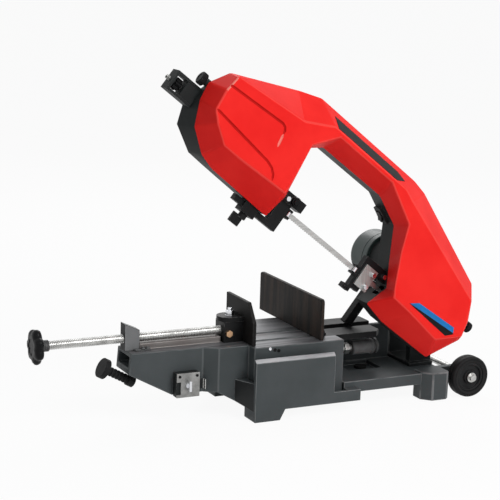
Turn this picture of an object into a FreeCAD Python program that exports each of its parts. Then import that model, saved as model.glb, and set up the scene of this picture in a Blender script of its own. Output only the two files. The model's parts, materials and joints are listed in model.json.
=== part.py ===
import FreeCAD, Part
import math
import os

os.makedirs("parts", exist_ok=True)

# A floor-standing swing-head band saw with a screw vise and transport wheels.
# Millimetres and degrees. X runs from the vise knob to the transport wheels,
# Y away from the operator, Z up. The floor is Z = 0.

# Clearances
SLIDE_GAP = 0.4          # between a sliding piece and what it slides on
BODY_GAP = 0.6           # between pieces that move past each other
RUN_GAP = 0.05           # radial gap of a running shaft
BAND_GAP = 0.3           # between the band and the wheels and rollers

# Bed and base
BED_TOP = 166.0
BED_LEFT = -65.0
BED_RIGHT = 241.0
BED_FRONT = 32.0
BED_BACK = 272.0
BED_CUT_X = 45.0          # the cut back left corner, along the back
BED_CUT_Y = 190.0         # and along the left side
BED_STEP_X = 10.0        # where the bed's front edge steps back for the blade guide
BED_STEP_Y = 60.0
CASTING_BOTTOM = 25.0
CASTING_WALL = 10.0
GROOVE_WIDTH = 8.0
GROOVE_DEPTH = 4.0
GROOVE_OFFSET = 30.0     # from the vise screw's line
FRONT_PLATE_WIDTH = 203.0
FRONT_PLATE_TOP = 146.0
FRONT_PLATE_THICK = 10.0
SLOT_FLOOR_THICK = 6.0
SLOT_WALL_TOP = 90.0
SLOT_WALL_LEAN = 24.0     # of the end wall, toward the arm
LEDGE_LENGTH = 32.0
LEDGE_TOP = 52.0
FOOT_WIDTH = 64.0
FOOT_DEPTH = 56.0
FOOT_FLARE = 13.0
TABLE_THICK = 14.0
TABLE_LANDING = 43.0     # bed in front of the table plates
FRONT_TABLE_LENGTH = 126.0
REAR_TABLE_LENGTH = 144.0
REAR_TABLE_DEPTH = 50.0
TABLE_CORNER = 15.0

# Vise arm
ARM_LENGTH = 205.0
ARM_FLARE = 31.0
ARM_WIDTH = 80.0
ARM_NOSE = 48.0
ARM_NOSE_LEAN = 4.0
ARM_SLOPE_RUN = 100.0
ARM_BOTTOM = 62.0
ARM_WALL = 9.0
ARM_POCKET = 34.0
ARM_POCKET_HEIGHT = 25.0
RAIL_WIDTH = 24.0
RAIL_HEIGHT = 14.0

# Deck, feet and anchor holes
DECK_TOP = 65.0
DECK_THICK = 27.0
DECK_FRONT = 24.0
DECK_BACK = 279.0
DECK_FOOT_WIDTH = 70.0
DECK_FOOT_DEPTH = 54.0
DECK_FOOT_CHAMFER = 8.0
DECK_FOOT_CUT = 22.0     # the larger chamfer on the side toward the bed
DECK_FOOT_PROUD = 20.0   # in front of the deck
DECK_FOOT_RISE = 3.0     # above the deck
WEB_Y = 184.0            # upright web between the deck and the rear table plate
WEB_THICK = 12.0
ANCHOR_RADIUS = 4.25
ANCHOR_DEPTH = 18.0
ANCHOR_FRONT_Y = 40.0
ANCHOR_BACK_Y = 260.0
ANCHOR_INSET = 23.0

# Vise
JAW_HEIGHT = 96.0
JAW_THICK = 9.0
JAW_ROUND = 8.0
FIXED_JAW_FACE = 183.0
FIXED_JAW_FRONT = 42.0
FIXED_JAW_BACK = 360.0
GUSSET_INSET = 24.0      # from the fixed jaw's near end
GUSSET_LENGTH = 16.0
GUSSET_HEIGHT = 44.0
GUSSET_THICK = 16.0
CLAMP_BAR_LENGTH = 120.0
CLAMP_BAR_THICK = 6.0
MOVING_JAW_FACE = 20.0
MOVING_JAW_FRONT = 46.0
MOVING_JAW_BACK = 190.0
JAW_CUT_ACROSS = 30.0
JAW_CUT_DOWN = 42.0
BLOCK_LENGTH = 48.0
BLOCK_WIDTH = 48.0
CAP_THICK = 11.0
SCREW_RADIUS = 10.0
SCREW_Y = 120.0
SCREW_HEIGHT = 26.0      # screw line above the bed
SCREW_OVERHANG = 217.0   # knob's end beyond the arm
SCREW_SEAT = 34.0        # how far the screw runs into the jaw block
KNOB_RADIUS = 41.0
KNOB_THICK = 22.0
NUT_PLATE_THICK = 36.0
NUT_PLATE_DEPTH = 26.0
NUT_PLATE_RISE = 36.0
NUT_PLATE_FALL = 16.0     # of its sloped top, toward the jaw
NUT_PLATE_OVERHANG = 5.0  # past the arm's end

# Stop box and lift handle on the arm
STOP_BOX_SIZE = 56.0
STOP_BOX_OFFSET = 16.0   # from the arm's flare
STOP_BOX_BOTTOM = 60.0
STOP_BOX_DEPTH = 22.0
STOP_PLATE_THICK = 4.0
HANDLE_OFFSET = 22.0     # along the arm's sloped underside
HANDLE_DROP = 13.0
HANDLE_LENGTH = 60.0
HANDLE_RADIUS = 8.5
HANDLE_RIBS = 6

# Transport wheels
TYRE_RADIUS = 50.0
TYRE_WIDTH = 30.0
TYRE_DEPTH = 14.0
WHEEL_CLEARANCE = 6.0    # between the tyres and the deck's end
AXLE_RADIUS = 8.0
AXLE_FRONT = 0.0
AXLE_BACK = 300.0
EAR_THICK = 12.0
EAR_INSET = 37.0
EAR_RADIUS = 15.0

# Swing of the head
HEAD_RAISE = 38.0        # head angle above the lowered position
PIVOT_X = 491.0
PIVOT_RISE = 18.0        # pivot above the bed
PIVOT_RADIUS = 13.0
PIVOT_FLANGE = 34.0
BUSH_WALL = 5.0
CHEEK_RADIUS = 30.0
CHEEK_FRONT = 95.0
CHEEK_THICK = 20.0
CHEEK_SPREAD = 95.0
CHEEK_BASE = 9.0
LEG_X = 356.0
LEG_Y = 150.0
LEG_WIDTH = 22.0
LEG_SLOT_GAP = 5.0
LEG_ARM_THICK = 13.0
PAD_RADIUS = 15.0
PAD_HEIGHT = 6.0
POCKET_DEPTH = 10.0
LEVER_REACH_X = 78.0
LEVER_REACH_Z = 62.0

# Band and its wheels
BLADE_Y = 21.0           # the plane of the cut
BLADE_DROP = 11.0        # middle of the band below the bed with the head lowered
BLADE_WIDTH = 13.0
BLADE_THICK = 0.9
TWIST_LEAD = 36.0        # flat band left before each twist
WHEEL_RADIUS = 89.2
WHEEL_WIDTH = 20.0
WHEEL_FLANGE = 1.4
IDLER_X = -205.0
DRIVE_X = 363.0
SHAFT_RADIUS = 12.0
BEARING_WIDTH = 14.0

# Head shells
SEAM_Y = 2.0             # where the front cover meets the head frame
COVER_DEPTH = 68.0
COVER_WALL = 3.0
LABEL_THICK = 0.8
FRAME_DEPTH = 51.4
FRAME_WALL = 4.0
FRAME_BACK_WALL = 6.0
R = WHEEL_RADIUS
# Head corners with the head lowered, in pairs: at the seam's rim and on the flat
# front face. Each is measured from the wheel centre that it goes round.
IDLER_THROAT = [
    ((R + 50, -R - 38), (R + 22, -R + 18)),
    ((R + 62, -65), (R + 20, -40)),
    ((R + 27, 42), (R + 8, 47)),
    ((R + 68, R - 16), (R + 54, R + 12)),
]
DRIVE_LOBE = [
    ((-R - 132, R - 14), (-R - 166, R + 13)),
    ((-R - 56, 45), (-R - 66, 55)),
    ((-R - 12, -23), (-R - 40, -7)),
    ((-R + 26, -R + 10), (-R + 1, -R + 9)),
    ((-R + 5, -R - 46), (-R + 14, -R - 6)),
    ((-23, -R - 57), (-14, -R - 9)),
    ((R + 48, -R - 56), (R - 6, -R - 20)),
    ((R + 99, -62), (R + 51, -65)),
    ((R + 90, -13), (R + 42, -31)),
    ((R + 38, R - 29), (R + 17, R - 73)),
    ((-R - 38, R + 59), (-R - 93, R + 12)),
    ((-R - 78, R + 65), (-R - 124, R + 23)),
]
IDLER_LOBE = [
    ((R - 6, R + 65), (R + 30, R + 23)),
    ((29, R + 45), (R - 39, R - 13)),
    ((-R - 41, R - 26), (-R - 51, R - 33)),
    ((-R - 69, 17), (-R - 55, 17)),
    ((-R - 62, -23), (-R - 49, -31)),
    ((-R - 36, -R + 14), (-R - 26, -R + 39)),
    ((-R + 16, -R - 23), (-R + 16, -R + 12)),
    ((-35, -R - 33), (-35, -R + 12)),
]
# How far the frame's back edge draws in at the three top left corners.
BACK_DRAWN_IN = {
    17: (-4, -12), 18: (18, -14), 19: (11, -20), 20: (-11, -9), 21: (-15, -13), 22: (-6, -8),
}

# Drive, tension unit and guides
GEAR_CASE_RADIUS = 60.0
GEAR_CASE_BACK = 100.0
MOTOR_SHIFT = 45.0       # motor line from the drive shaft, toward the throat
MOTOR_DROP = 7.0
MOTOR_RADIUS = 60.0
MOTOR_BACK = 180.0
CASE_FLANGE = 52.0       # gear case round the motor line
MOTOR_ROUND = 14.0
TENSION_DROP = 24.0
TENSION_RADIUS = 5.0
CLEVIS_LENGTH = 62.0
CLEVIS_HALF = 18.0
CLEVIS_PLATE = 6.0
GUIDE_WIDTH = 17.0
GUIDE_SETBACK = 1.0      # left guide from the throat's side
POST_WIDTH = 32.0
BAR_HEIGHT = 14.0
BAR_DROP = 38.0          # guide bar below the middle of the band
GUIDE_LIFT = 6.0         # guide heads above the bed with the head lowered
SLIT_HALF = 1.6
ROLLER_RADIUS = 4.5
ROLLER_HALF = 5.5
PIN_RADIUS = 1.8
LIP = 12.0
GUIDE_HEAD_REACH = 26.0  # left guide's head beyond its post
KNOB_STUD = 4.0
KNOB_BOSS = 9.0
ROCKER_TILT = 10.0       # the switch rests tilted to its off side

arm_end = BED_LEFT - ARM_LENGTH
arm_root = BED_LEFT - ARM_FLARE
arm_front = SCREW_Y - ARM_WIDTH / 2
arm_back = SCREW_Y + ARM_WIDTH / 2
pivot_z = BED_TOP + PIVOT_RISE
blade_z = BED_TOP - BLADE_DROP
screw_z = BED_TOP + SCREW_HEIGHT
deck_right = PIVOT_X + CHEEK_RADIUS
axle_x = deck_right + WHEEL_CLEARANCE + TYRE_RADIUS
axle_z = TYRE_RADIUS

V = FreeCAD.Vector
X_AXIS = V(1, 0, 0)
Y_AXIS = V(0, 1, 0)
Z_AXIS = V(0, 0, 1)
parts = {}


def box(x_range, y_range, z_range):
    corner = V(x_range[0], y_range[0], z_range[0])
    return Part.makeBox(x_range[1] - x_range[0], y_range[1] - y_range[0], z_range[1] - z_range[0], corner)


def rod(radius, start, end):
    return Part.makeCylinder(radius, (end - start).Length, start, end - start)


def tube(outer, inner, start, end):
    return rod(outer, start, end).cut(rod(inner, start, end))


def hexagon(across_flats, start, end):
    axis = end - start
    axis.normalize()
    side = axis.cross(X_AXIS if abs(axis.x) < 0.9 else Z_AXIS)
    side.normalize()
    other = axis.cross(side)
    reach = across_flats / math.sqrt(3.0)
    corners = []
    for index in range(7):
        angle = math.radians(60.0 * index)
        corners.append(start + side * (reach * math.cos(angle)) + other * (reach * math.sin(angle)))
    return Part.Face(Part.makePolygon(corners)).extrude(end - start)


def closed_wire(points):
    return Part.makePolygon(points + [points[0]])


def prism_y(outline, y_start, y_end):
    wire = closed_wire([V(x, y_start, z) for x, z in outline])
    return Part.Face(wire).extrude(V(0, y_end - y_start, 0))


def prism_z(outline, z_start, z_end):
    wire = closed_wire([V(x, y, z_start) for x, y in outline])
    return Part.Face(wire).extrude(V(0, 0, z_end - z_start))


def prism_x(outline, x_start, x_end):
    wire = closed_wire([V(x_start, y, z) for y, z in outline])
    return Part.Face(wire).extrude(V(x_end - x_start, 0, 0))


def inward(start, end):
    run = end[0] - start[0]
    rise = end[1] - start[1]
    length = math.hypot(run, rise)
    return (-rise / length, run / length)


def inset(outline, distance):
    moved = []
    for index, here in enumerate(outline):
        first = inward(outline[index - 1], here)
        second = inward(here, outline[(index + 1) % len(outline)])
        step = distance / (1.0 + first[0] * second[0] + first[1] * second[1])
        moved.append((here[0] + step * (first[0] + second[0]), here[1] + step * (first[1] + second[1])))
    return moved


def tapered(outline_a, y_a, outline_b, y_b):
    wires = []
    for outline, y in ((outline_a, y_a), (outline_b, y_b)):
        wires.append(closed_wire([V(x, y, z) for x, z in outline]))
    solid = Part.makeLoft(wires, True, True)
    if solid.Volume < 0:
        solid.reverse()
    return solid


def joined(shapes):
    result = shapes[0]
    for shape in shapes[1:]:
        result = result.fuse(shape)
    return result.removeSplitter()


def star(radius, lobes, x_start, x_end, y, z):
    body = rod(radius * 0.86, V(x_start, y, z), V(x_end, y, z))
    for index in range(lobes):
        angle = 2.0 * math.pi * index / lobes
        at_y = y + radius * 0.80 * math.cos(angle)
        at_z = z + radius * 0.80 * math.sin(angle)
        body = body.fuse(rod(radius * 0.20, V(x_start, at_y, at_z), V(x_end, at_y, at_z)))
        gap_angle = angle + math.pi / lobes
        gap_y = y + radius * 1.02 * math.cos(gap_angle)
        gap_z = z + radius * 1.02 * math.sin(gap_angle)
        body = body.cut(rod(radius * 0.24, V(x_start, gap_y, gap_z), V(x_end, gap_y, gap_z)))
    return body.removeSplitter()


def anchor_hole(x, y):
    return rod(ANCHOR_RADIUS, V(x, y, 0), V(x, y, ANCHOR_DEPTH))


# Bed casting: the hollow bed with the tapered vise arm to its left.
table_bottom = BED_TOP - TABLE_THICK
jaw_bottom = BED_TOP + SLIDE_GAP
fixed_back = FIXED_JAW_FACE + JAW_THICK
moving_back = MOVING_JAW_FACE - JAW_THICK
block_left = moving_back - BLOCK_LENGTH
table_left = fixed_back + 8
slot_front = LEG_Y - LEG_WIDTH / 2 - LEG_SLOT_GAP
slot_back = LEG_Y + LEG_WIDTH / 2 + LEG_SLOT_GAP
table_back = slot_back + REAR_TABLE_DEPTH
bed_plan = [
    (arm_root, arm_front), (BED_LEFT, BED_STEP_Y), (BED_STEP_X, BED_STEP_Y), (BED_STEP_X, BED_FRONT),
    (BED_RIGHT, BED_FRONT), (BED_RIGHT, BED_BACK), (BED_CUT_X, BED_BACK), (BED_LEFT, BED_CUT_Y),
    (arm_root, arm_back),
]
cavity_top = table_bottom - CASTING_WALL
bed = prism_z(bed_plan, CASTING_BOTTOM, BED_TOP)
bed = bed.cut(prism_z(inset(bed_plan, CASTING_WALL), CASTING_BOTTOM, cavity_top))
table_front = BED_FRONT + TABLE_LANDING
bed = bed.cut(box((table_left, BED_RIGHT), (table_front, table_back), (table_bottom, BED_TOP)))
below = CASTING_BOTTOM - 1
underside = [
    (arm_root - 1, below), (0, below), (0, CASTING_BOTTOM),
    (BED_LEFT, ARM_BOTTOM), (arm_root - 1, ARM_BOTTOM),
]
bed = bed.cut(prism_y(underside, BED_FRONT, BED_BACK))
nose = (arm_end - ARM_NOSE_LEAN, BED_TOP - ARM_NOSE)
belly = (arm_end + ARM_SLOPE_RUN, ARM_BOTTOM)
arm_profile = [(arm_end, BED_TOP), nose, belly, (arm_root, ARM_BOTTOM), (arm_root, BED_TOP)]
arm = prism_y(arm_profile, arm_front, arm_back)
pocket_y = (arm_front + ARM_WALL, arm_back - ARM_WALL)
pocket_z = (BED_TOP - ARM_WALL - ARM_POCKET_HEIGHT, BED_TOP - ARM_WALL)
arm = arm.cut(box((nose[0], arm_end + ARM_POCKET), pocket_y, pocket_z))
rail_y = (SCREW_Y - RAIL_WIDTH / 2, SCREW_Y + RAIL_WIDTH / 2)
rail_top = BED_TOP + RAIL_HEIGHT
nut_plate_left = arm_end - NUT_PLATE_OVERHANG
nut_plate_x = (nut_plate_left, nut_plate_left + NUT_PLATE_THICK)
rail = box((nut_plate_x[1], block_left - 2), rail_y, (BED_TOP, rail_top))
foot_profile = [(0, 0), (FOOT_WIDTH, 0), (FOOT_WIDTH + FOOT_FLARE, CASTING_BOTTOM), (0, CASTING_BOTTOM)]
rear_foot = prism_y(foot_profile, BED_BACK - FOOT_DEPTH, BED_BACK)
bed = joined([bed, arm, rail, rear_foot])
bed = bed.cut(anchor_hole(FOOT_WIDTH / 2, ANCHOR_BACK_Y))
for groove_y in (SCREW_Y - GROOVE_OFFSET, SCREW_Y + GROOVE_OFFSET):
    groove = (groove_y - GROOVE_WIDTH / 2, groove_y + GROOVE_WIDTH / 2)
    bed = bed.cut(box((BED_STEP_X, table_left), groove, (BED_TOP - GROOVE_DEPTH, BED_TOP)))
parts["bed_casting"] = bed

# Table plates: two black plates that carry on the bed's top behind the fixed jaw.
table_right = BED_RIGHT + FRONT_TABLE_LENGTH
front_plate_plan = [
    (table_left, table_front), (table_right - TABLE_CORNER, table_front),
    (table_right, table_front + TABLE_CORNER), (table_right, slot_front), (table_left, slot_front),
]
parts["table_plate_front"] = prism_z(front_plate_plan, table_bottom, BED_TOP)
rear_table = (table_left, BED_RIGHT + REAR_TABLE_LENGTH)
parts["table_plate_rear"] = box(rear_table, (slot_back, table_back), (table_bottom, BED_TOP))

# Front box: the front plate with its foot, the chip slot's floor and end wall and the low ledge.
ledge_right = BED_RIGHT + LEDGE_LENGTH
plate_profile = foot_profile[:3] + [
    (ledge_right, CASTING_BOTTOM), (ledge_right, LEDGE_TOP), (FRONT_PLATE_WIDTH, LEDGE_TOP),
    (FRONT_PLATE_WIDTH, FRONT_PLATE_TOP), (0, FRONT_PLATE_TOP),
]
front = prism_y(plate_profile, 0, FRONT_PLATE_THICK)
front_foot = prism_y(foot_profile, FRONT_PLATE_THICK, FOOT_DEPTH)
floor_z = (CASTING_BOTTOM, CASTING_BOTTOM + SLOT_FLOOR_THICK)
slot_floor = box((0, BED_RIGHT), (FRONT_PLATE_THICK, BED_FRONT), floor_z)
wall_plan = [
    (0, FRONT_PLATE_THICK), (SLOT_FLOOR_THICK, FRONT_PLATE_THICK), (SLOT_FLOOR_THICK, BED_STEP_Y),
    (-SLOT_WALL_LEAN, BED_STEP_Y),
]
left_wall = prism_z(wall_plan, CASTING_BOTTOM, SLOT_WALL_TOP)
left_wall = left_wall.cut(prism_y(underside, FRONT_PLATE_THICK, BED_STEP_Y))
ledge = box((BED_RIGHT, ledge_right), (FRONT_PLATE_THICK, DECK_FRONT), (CASTING_BOTTOM, LEDGE_TOP))
front = joined([front, front_foot, slot_floor, left_wall, ledge])
front = front.cut(parts["bed_casting"])
parts["front_box"] = front.cut(anchor_hole(FOOT_WIDTH / 2, ANCHOR_FRONT_Y))

# Rear deck: the low plate that carries the pivot bracket, with the stop pocket and the axle's ears.
deck_bottom = DECK_TOP - DECK_THICK
deck = box((BED_RIGHT, deck_right), (DECK_FRONT, DECK_BACK), (deck_bottom, DECK_TOP))
foot_left = deck_right - DECK_FOOT_WIDTH
foot_plan = [
    (DECK_FOOT_CUT, 0), (DECK_FOOT_WIDTH - DECK_FOOT_CHAMFER, 0), (DECK_FOOT_WIDTH, DECK_FOOT_CHAMFER),
    (DECK_FOOT_WIDTH, DECK_FOOT_DEPTH), (0, DECK_FOOT_DEPTH), (0, DECK_FOOT_CUT),
]
front_foot_plan = [(foot_left + x, DECK_FRONT - DECK_FOOT_PROUD + y) for x, y in foot_plan]
rear_foot_plan = [(foot_left + x, DECK_BACK + DECK_FOOT_PROUD - y) for x, y in reversed(foot_plan)]
for plan in (front_foot_plan, rear_foot_plan):
    deck = deck.cut(prism_z(plan, deck_bottom, DECK_TOP))
pocket_floor = DECK_TOP - POCKET_DEPTH
pocket_x = (LEG_X - 56, LEG_X + 34)
deck = deck.cut(box(pocket_x, (LEG_Y - 42, LEG_Y + 30), (pocket_floor, DECK_TOP)))
axle = rod(AXLE_RADIUS, V(axle_x, AXLE_FRONT - 4, axle_z), V(axle_x, AXLE_BACK + 4, axle_z))
ear_z = (axle_z - EAR_RADIUS, axle_z + EAR_RADIUS)
ear_front = DECK_FRONT + EAR_INSET
ear_back = DECK_BACK - EAR_INSET
for ear_y in (ear_front, ear_back - EAR_THICK):
    ear = box((deck_right, axle_x), (ear_y, ear_y + EAR_THICK), ear_z)
    ear = ear.fuse(rod(EAR_RADIUS, V(axle_x, ear_y, axle_z), V(axle_x, ear_y + EAR_THICK, axle_z)))
    deck = deck.fuse(ear)
web_x = (BED_RIGHT, PIVOT_X - CHEEK_RADIUS - 8)
deck = deck.fuse(box(web_x, (WEB_Y, WEB_Y + WEB_THICK), (DECK_TOP, table_bottom)))
parts["rear_deck"] = deck.removeSplitter().cut(axle)

# Right feet: chamfered blocks at the deck's corners.
for name, plan, hole_y in (
    ("front_right_foot", front_foot_plan, ANCHOR_FRONT_Y),
    ("rear_right_foot", rear_foot_plan, ANCHOR_BACK_Y),
):
    foot = prism_z(plan, 0, DECK_TOP + DECK_FOOT_RISE)
    parts[name] = foot.cut(anchor_hole(deck_right - ANCHOR_INSET, hole_y))

# Stop pad: a rubber disc in the pocket that the head's stop leg lands on.
pad_top = pocket_floor + PAD_HEIGHT
parts["stop_pad"] = rod(PAD_RADIUS, V(LEG_X, LEG_Y, pocket_floor), V(LEG_X, LEG_Y, pad_top))

# Balance unit: the spring tube lying under the table plate, with its rod and nut.
balance_y = slot_front - 25
balance_z = (DECK_TOP + table_bottom) / 2 + 12


def balance_at(reach):
    return V(BED_RIGHT + reach, balance_y, balance_z)


balance_nut = hexagon(24.0, balance_at(42), balance_at(54))
parts["balance_rod"] = joined([rod(8.0, balance_at(0), balance_at(62)), balance_nut])
balance_steps = [(17.0, 62, 112), (18.5, 112, 118), (15.0, 118, 124), (18.5, 124, 130)]
balance = []
for step_radius, step_start, step_end in balance_steps:
    balance.append(rod(step_radius, balance_at(step_start), balance_at(step_end)))
parts["balance_tube"] = joined(balance)

# Pivot bracket: two cheeks on a base plate, each with a bronze bush.
cheek_left = PIVOT_X - CHEEK_RADIUS
bush_radius = PIVOT_RADIUS + BUSH_WALL
cheek_back = CHEEK_FRONT + CHEEK_SPREAD + CHEEK_THICK
cheek_foot = DECK_TOP + CHEEK_BASE
cheeks = [box((cheek_left - 6, deck_right), (CHEEK_FRONT - 10, cheek_back + 10), (DECK_TOP, cheek_foot))]
for name, cheek_y in (("pivot_bush_front", CHEEK_FRONT), ("pivot_bush_rear", CHEEK_FRONT + CHEEK_SPREAD)):
    near = V(PIVOT_X, cheek_y, pivot_z)
    far = V(PIVOT_X, cheek_y + CHEEK_THICK, pivot_z)
    cheek = box((cheek_left, deck_right), (cheek_y, cheek_y + CHEEK_THICK), (cheek_foot, pivot_z))
    cheek = cheek.fuse(rod(CHEEK_RADIUS, near, far))
    cheeks.append(cheek.cut(rod(bush_radius, near, far)))
    parts[name] = tube(bush_radius, PIVOT_RADIUS + RUN_GAP, near, far)
parts["pivot_bracket"] = joined(cheeks)

# Fixed jaw: a long steel plate across the bed with a gusseted bracket behind it.
jaw_top = BED_TOP + JAW_HEIGHT
fixed_jaw = box((FIXED_JAW_FACE, fixed_back), (FIXED_JAW_FRONT, FIXED_JAW_BACK), (BED_TOP, jaw_top))
jaw_corners = []
for edge in fixed_jaw.Edges:
    if edge.BoundBox.ZMin > jaw_top - 1 and edge.BoundBox.YLength < 1:
        jaw_corners.append(edge)
parts["fixed_jaw"] = fixed_jaw.makeFillet(JAW_ROUND, jaw_corners)
bracket_front = FIXED_JAW_FRONT + GUSSET_INSET
gusset_profile = [
    (fixed_back, BED_TOP), (fixed_back + GUSSET_LENGTH, BED_TOP), (fixed_back + GUSSET_LENGTH, BED_TOP + 12),
    (fixed_back + 6, BED_TOP + GUSSET_HEIGHT), (fixed_back, BED_TOP + GUSSET_HEIGHT),
]
gusset = prism_y(gusset_profile, bracket_front, bracket_front + GUSSET_THICK)
clamp_bar_y = (bracket_front + GUSSET_THICK, bracket_front + GUSSET_THICK + CLAMP_BAR_LENGTH)
clamp_bar_top = BED_TOP + CLAMP_BAR_THICK
jaw_bracket = [gusset, box((fixed_back, fixed_back + 28), clamp_bar_y, (BED_TOP, clamp_bar_top))]
for bolt_y in (clamp_bar_y[0] + 16, clamp_bar_y[1] - 16):
    bolt_foot = V(fixed_back + 14, bolt_y, clamp_bar_top)
    jaw_bracket.append(hexagon(17.0, bolt_foot, bolt_foot + V(0, 0, 10)))
parts["fixed_jaw_bracket"] = joined(jaw_bracket)

# Moving jaw: a steel plate with its near top corner cut, on a cast block.
jaw_profile = [
    (MOVING_JAW_FRONT, jaw_bottom), (MOVING_JAW_BACK, jaw_bottom), (MOVING_JAW_BACK, jaw_top),
    (MOVING_JAW_FRONT + JAW_CUT_ACROSS, jaw_top), (MOVING_JAW_FRONT, jaw_top - JAW_CUT_DOWN),
]
parts["moving_jaw"] = prism_x(jaw_profile, moving_back, MOVING_JAW_FACE)


def screw_at(x):
    return V(x, SCREW_Y, screw_z)


block_front = SCREW_Y - BLOCK_WIDTH / 2
block_top = screw_z + 22
block_bottom = jaw_bottom
cap_top = block_top + CAP_THICK
cap_radius = BLOCK_WIDTH / 2 + 3
screw_tip = block_left + SCREW_SEAT
block = box((block_left, moving_back), (block_front, block_front + BLOCK_WIDTH), (block_bottom, block_top))
cap_at = V(block_left + 20, SCREW_Y, block_top)
cap_y = (SCREW_Y - cap_radius, SCREW_Y + cap_radius)
cap = rod(cap_radius, cap_at, cap_at + V(0, 0, CAP_THICK))
cap = cap.fuse(box((cap_at.x, moving_back), cap_y, (block_top, cap_top)))
bolt_foot = V(block_left + 24, SCREW_Y, cap_top)
jaw_bolt = hexagon(17.0, bolt_foot, bolt_foot + V(0, 0, 11))
bolt_end = rod(5.0, bolt_foot + V(0, 0, 11), bolt_foot + V(0, 0, 17))
pin_start = V(block_left + 11, block_front, screw_z - 4)
jaw_pin = hexagon(15.0, pin_start, pin_start - V(0, 8, 0))
screw_seat = rod(SCREW_RADIUS + RUN_GAP, screw_at(block_left), screw_at(screw_tip + SLIDE_GAP))
parts["jaw_block"] = joined([block, cap, jaw_bolt, bolt_end, jaw_pin]).cut(screw_seat)

# Vise screw with its thrust collar and star knob; they turn together.
screw_end = arm_end - SCREW_OVERHANG
knob_right = screw_end + KNOB_THICK
screw = rod(SCREW_RADIUS, screw_at(knob_right - 14), screw_at(screw_tip))
sleeve = rod(SCREW_RADIUS + 3.5, screw_at(knob_right), screw_at(knob_right + 10))
ring = rod(SCREW_RADIUS + 6.5, screw_at(knob_right + 10), screw_at(knob_right + 17))
parts["vise_screw"] = joined([screw, sleeve, ring])
knob = star(KNOB_RADIUS, 7, screw_end, knob_right, SCREW_Y, screw_z)
parts["vise_knob"] = knob.cut(parts["vise_screw"])

# Screw bracket: the nut plate that stands on the arm's end, with its bolted foot beside the rail.
nut_plate_y = (SCREW_Y - NUT_PLATE_DEPTH / 2, SCREW_Y + NUT_PLATE_DEPTH / 2)
plate_top = screw_z + NUT_PLATE_RISE
nut_plate_profile = [
    (nut_plate_x[0], BED_TOP), (nut_plate_x[1], BED_TOP),
    (nut_plate_x[1], plate_top - NUT_PLATE_FALL), (nut_plate_x[0], plate_top),
]
plate = prism_y(nut_plate_profile, *nut_plate_y)
plate_foot_x = (nut_plate_x[1] - 14, nut_plate_x[1] + 24)
plate_foot = box(plate_foot_x, (nut_plate_y[0] - 12, rail_y[0]), (BED_TOP, BED_TOP + 3))
bracket = [plate, plate_foot]
for bolt_x in (nut_plate_x[1] + 6, nut_plate_x[1] + 17):
    bolt_at = V(bolt_x, nut_plate_y[0] - 6, BED_TOP + 3)
    bracket.append(rod(4.0, bolt_at, bolt_at + V(0, 0, 5)))
nut_bore = rod(SCREW_RADIUS + RUN_GAP, screw_at(nut_plate_x[0]), screw_at(nut_plate_x[1] + 24))
parts["screw_bracket"] = joined(bracket).cut(nut_bore)

# Stop box on the arm's front: a dark housing with a tab, and its bright plate and clamp bolt.
box_x = (arm_root - STOP_BOX_OFFSET - STOP_BOX_SIZE, arm_root - STOP_BOX_OFFSET)
box_z = (STOP_BOX_BOTTOM, STOP_BOX_BOTTOM + STOP_BOX_SIZE)
plate_y = arm_front - STOP_BOX_DEPTH
plate_back = plate_y + STOP_PLATE_THICK
housing = box(box_x, (plate_back, arm_front), box_z)
tab_x = box_x[1] + 13
tab_z = (box_z[0] + 14, box_z[0] + 38)
tab = box((box_x[1], tab_x), (plate_back + 4, plate_back + 7), tab_z)
tab_end = box((tab_x, tab_x + 3), (plate_y, plate_back + 7), tab_z)
parts["stop_box"] = joined([housing, tab, tab_end])
middle = V((box_x[0] + box_x[1]) / 2, plate_y, (box_z[0] + box_z[1]) / 2)
stop_plate = [box(box_x, (plate_y, plate_back), box_z), rod(7.0, middle, middle - V(0, 5, 0))]
wing_z = (middle.z - 12, middle.z + 12)
stop_plate.append(box((middle.x - 3, middle.x + 3), (plate_y - 14, plate_y - 5), wing_z))
for screw_x in (box_x[0] + 7, box_x[1] - 7):
    head_at = V(screw_x, plate_y, box_z[1] - 7)
    stop_plate.append(rod(3.2, head_at, head_at - V(0, 2.5, 0)))
parts["stop_plate"] = joined(stop_plate)

# Lift handle under the arm's end: a ribbed grip with a round end flange.
slope_start = V(nose[0], SCREW_Y, nose[1])
slope = V(belly[0], SCREW_Y, belly[1]) - slope_start
slope.normalize()
down = V(slope.z, 0, -slope.x)
handle_root = slope_start + slope * HANDLE_OFFSET + down * HANDLE_DROP
handle_end = handle_root - slope * HANDLE_LENGTH
grip = rod(HANDLE_RADIUS, handle_root, handle_end)
for index in range(HANDLE_RIBS):
    rib = handle_root - slope * (8 + 9 * index)
    grip = grip.fuse(rod(HANDLE_RADIUS + 2, rib, rib - slope * 4.5))
flange = rod(23.0, handle_end, handle_end - slope * 13)
saddle = rod(13.0, handle_root - slope * 2, handle_root + slope * 14)
stalk_root = handle_root + slope * 6
stalk = rod(7.0, stalk_root, stalk_root - down * 2 * HANDLE_DROP)
parts["lift_handle"] = joined([grip, flange, saddle, stalk]).cut(parts["bed_casting"])

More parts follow.
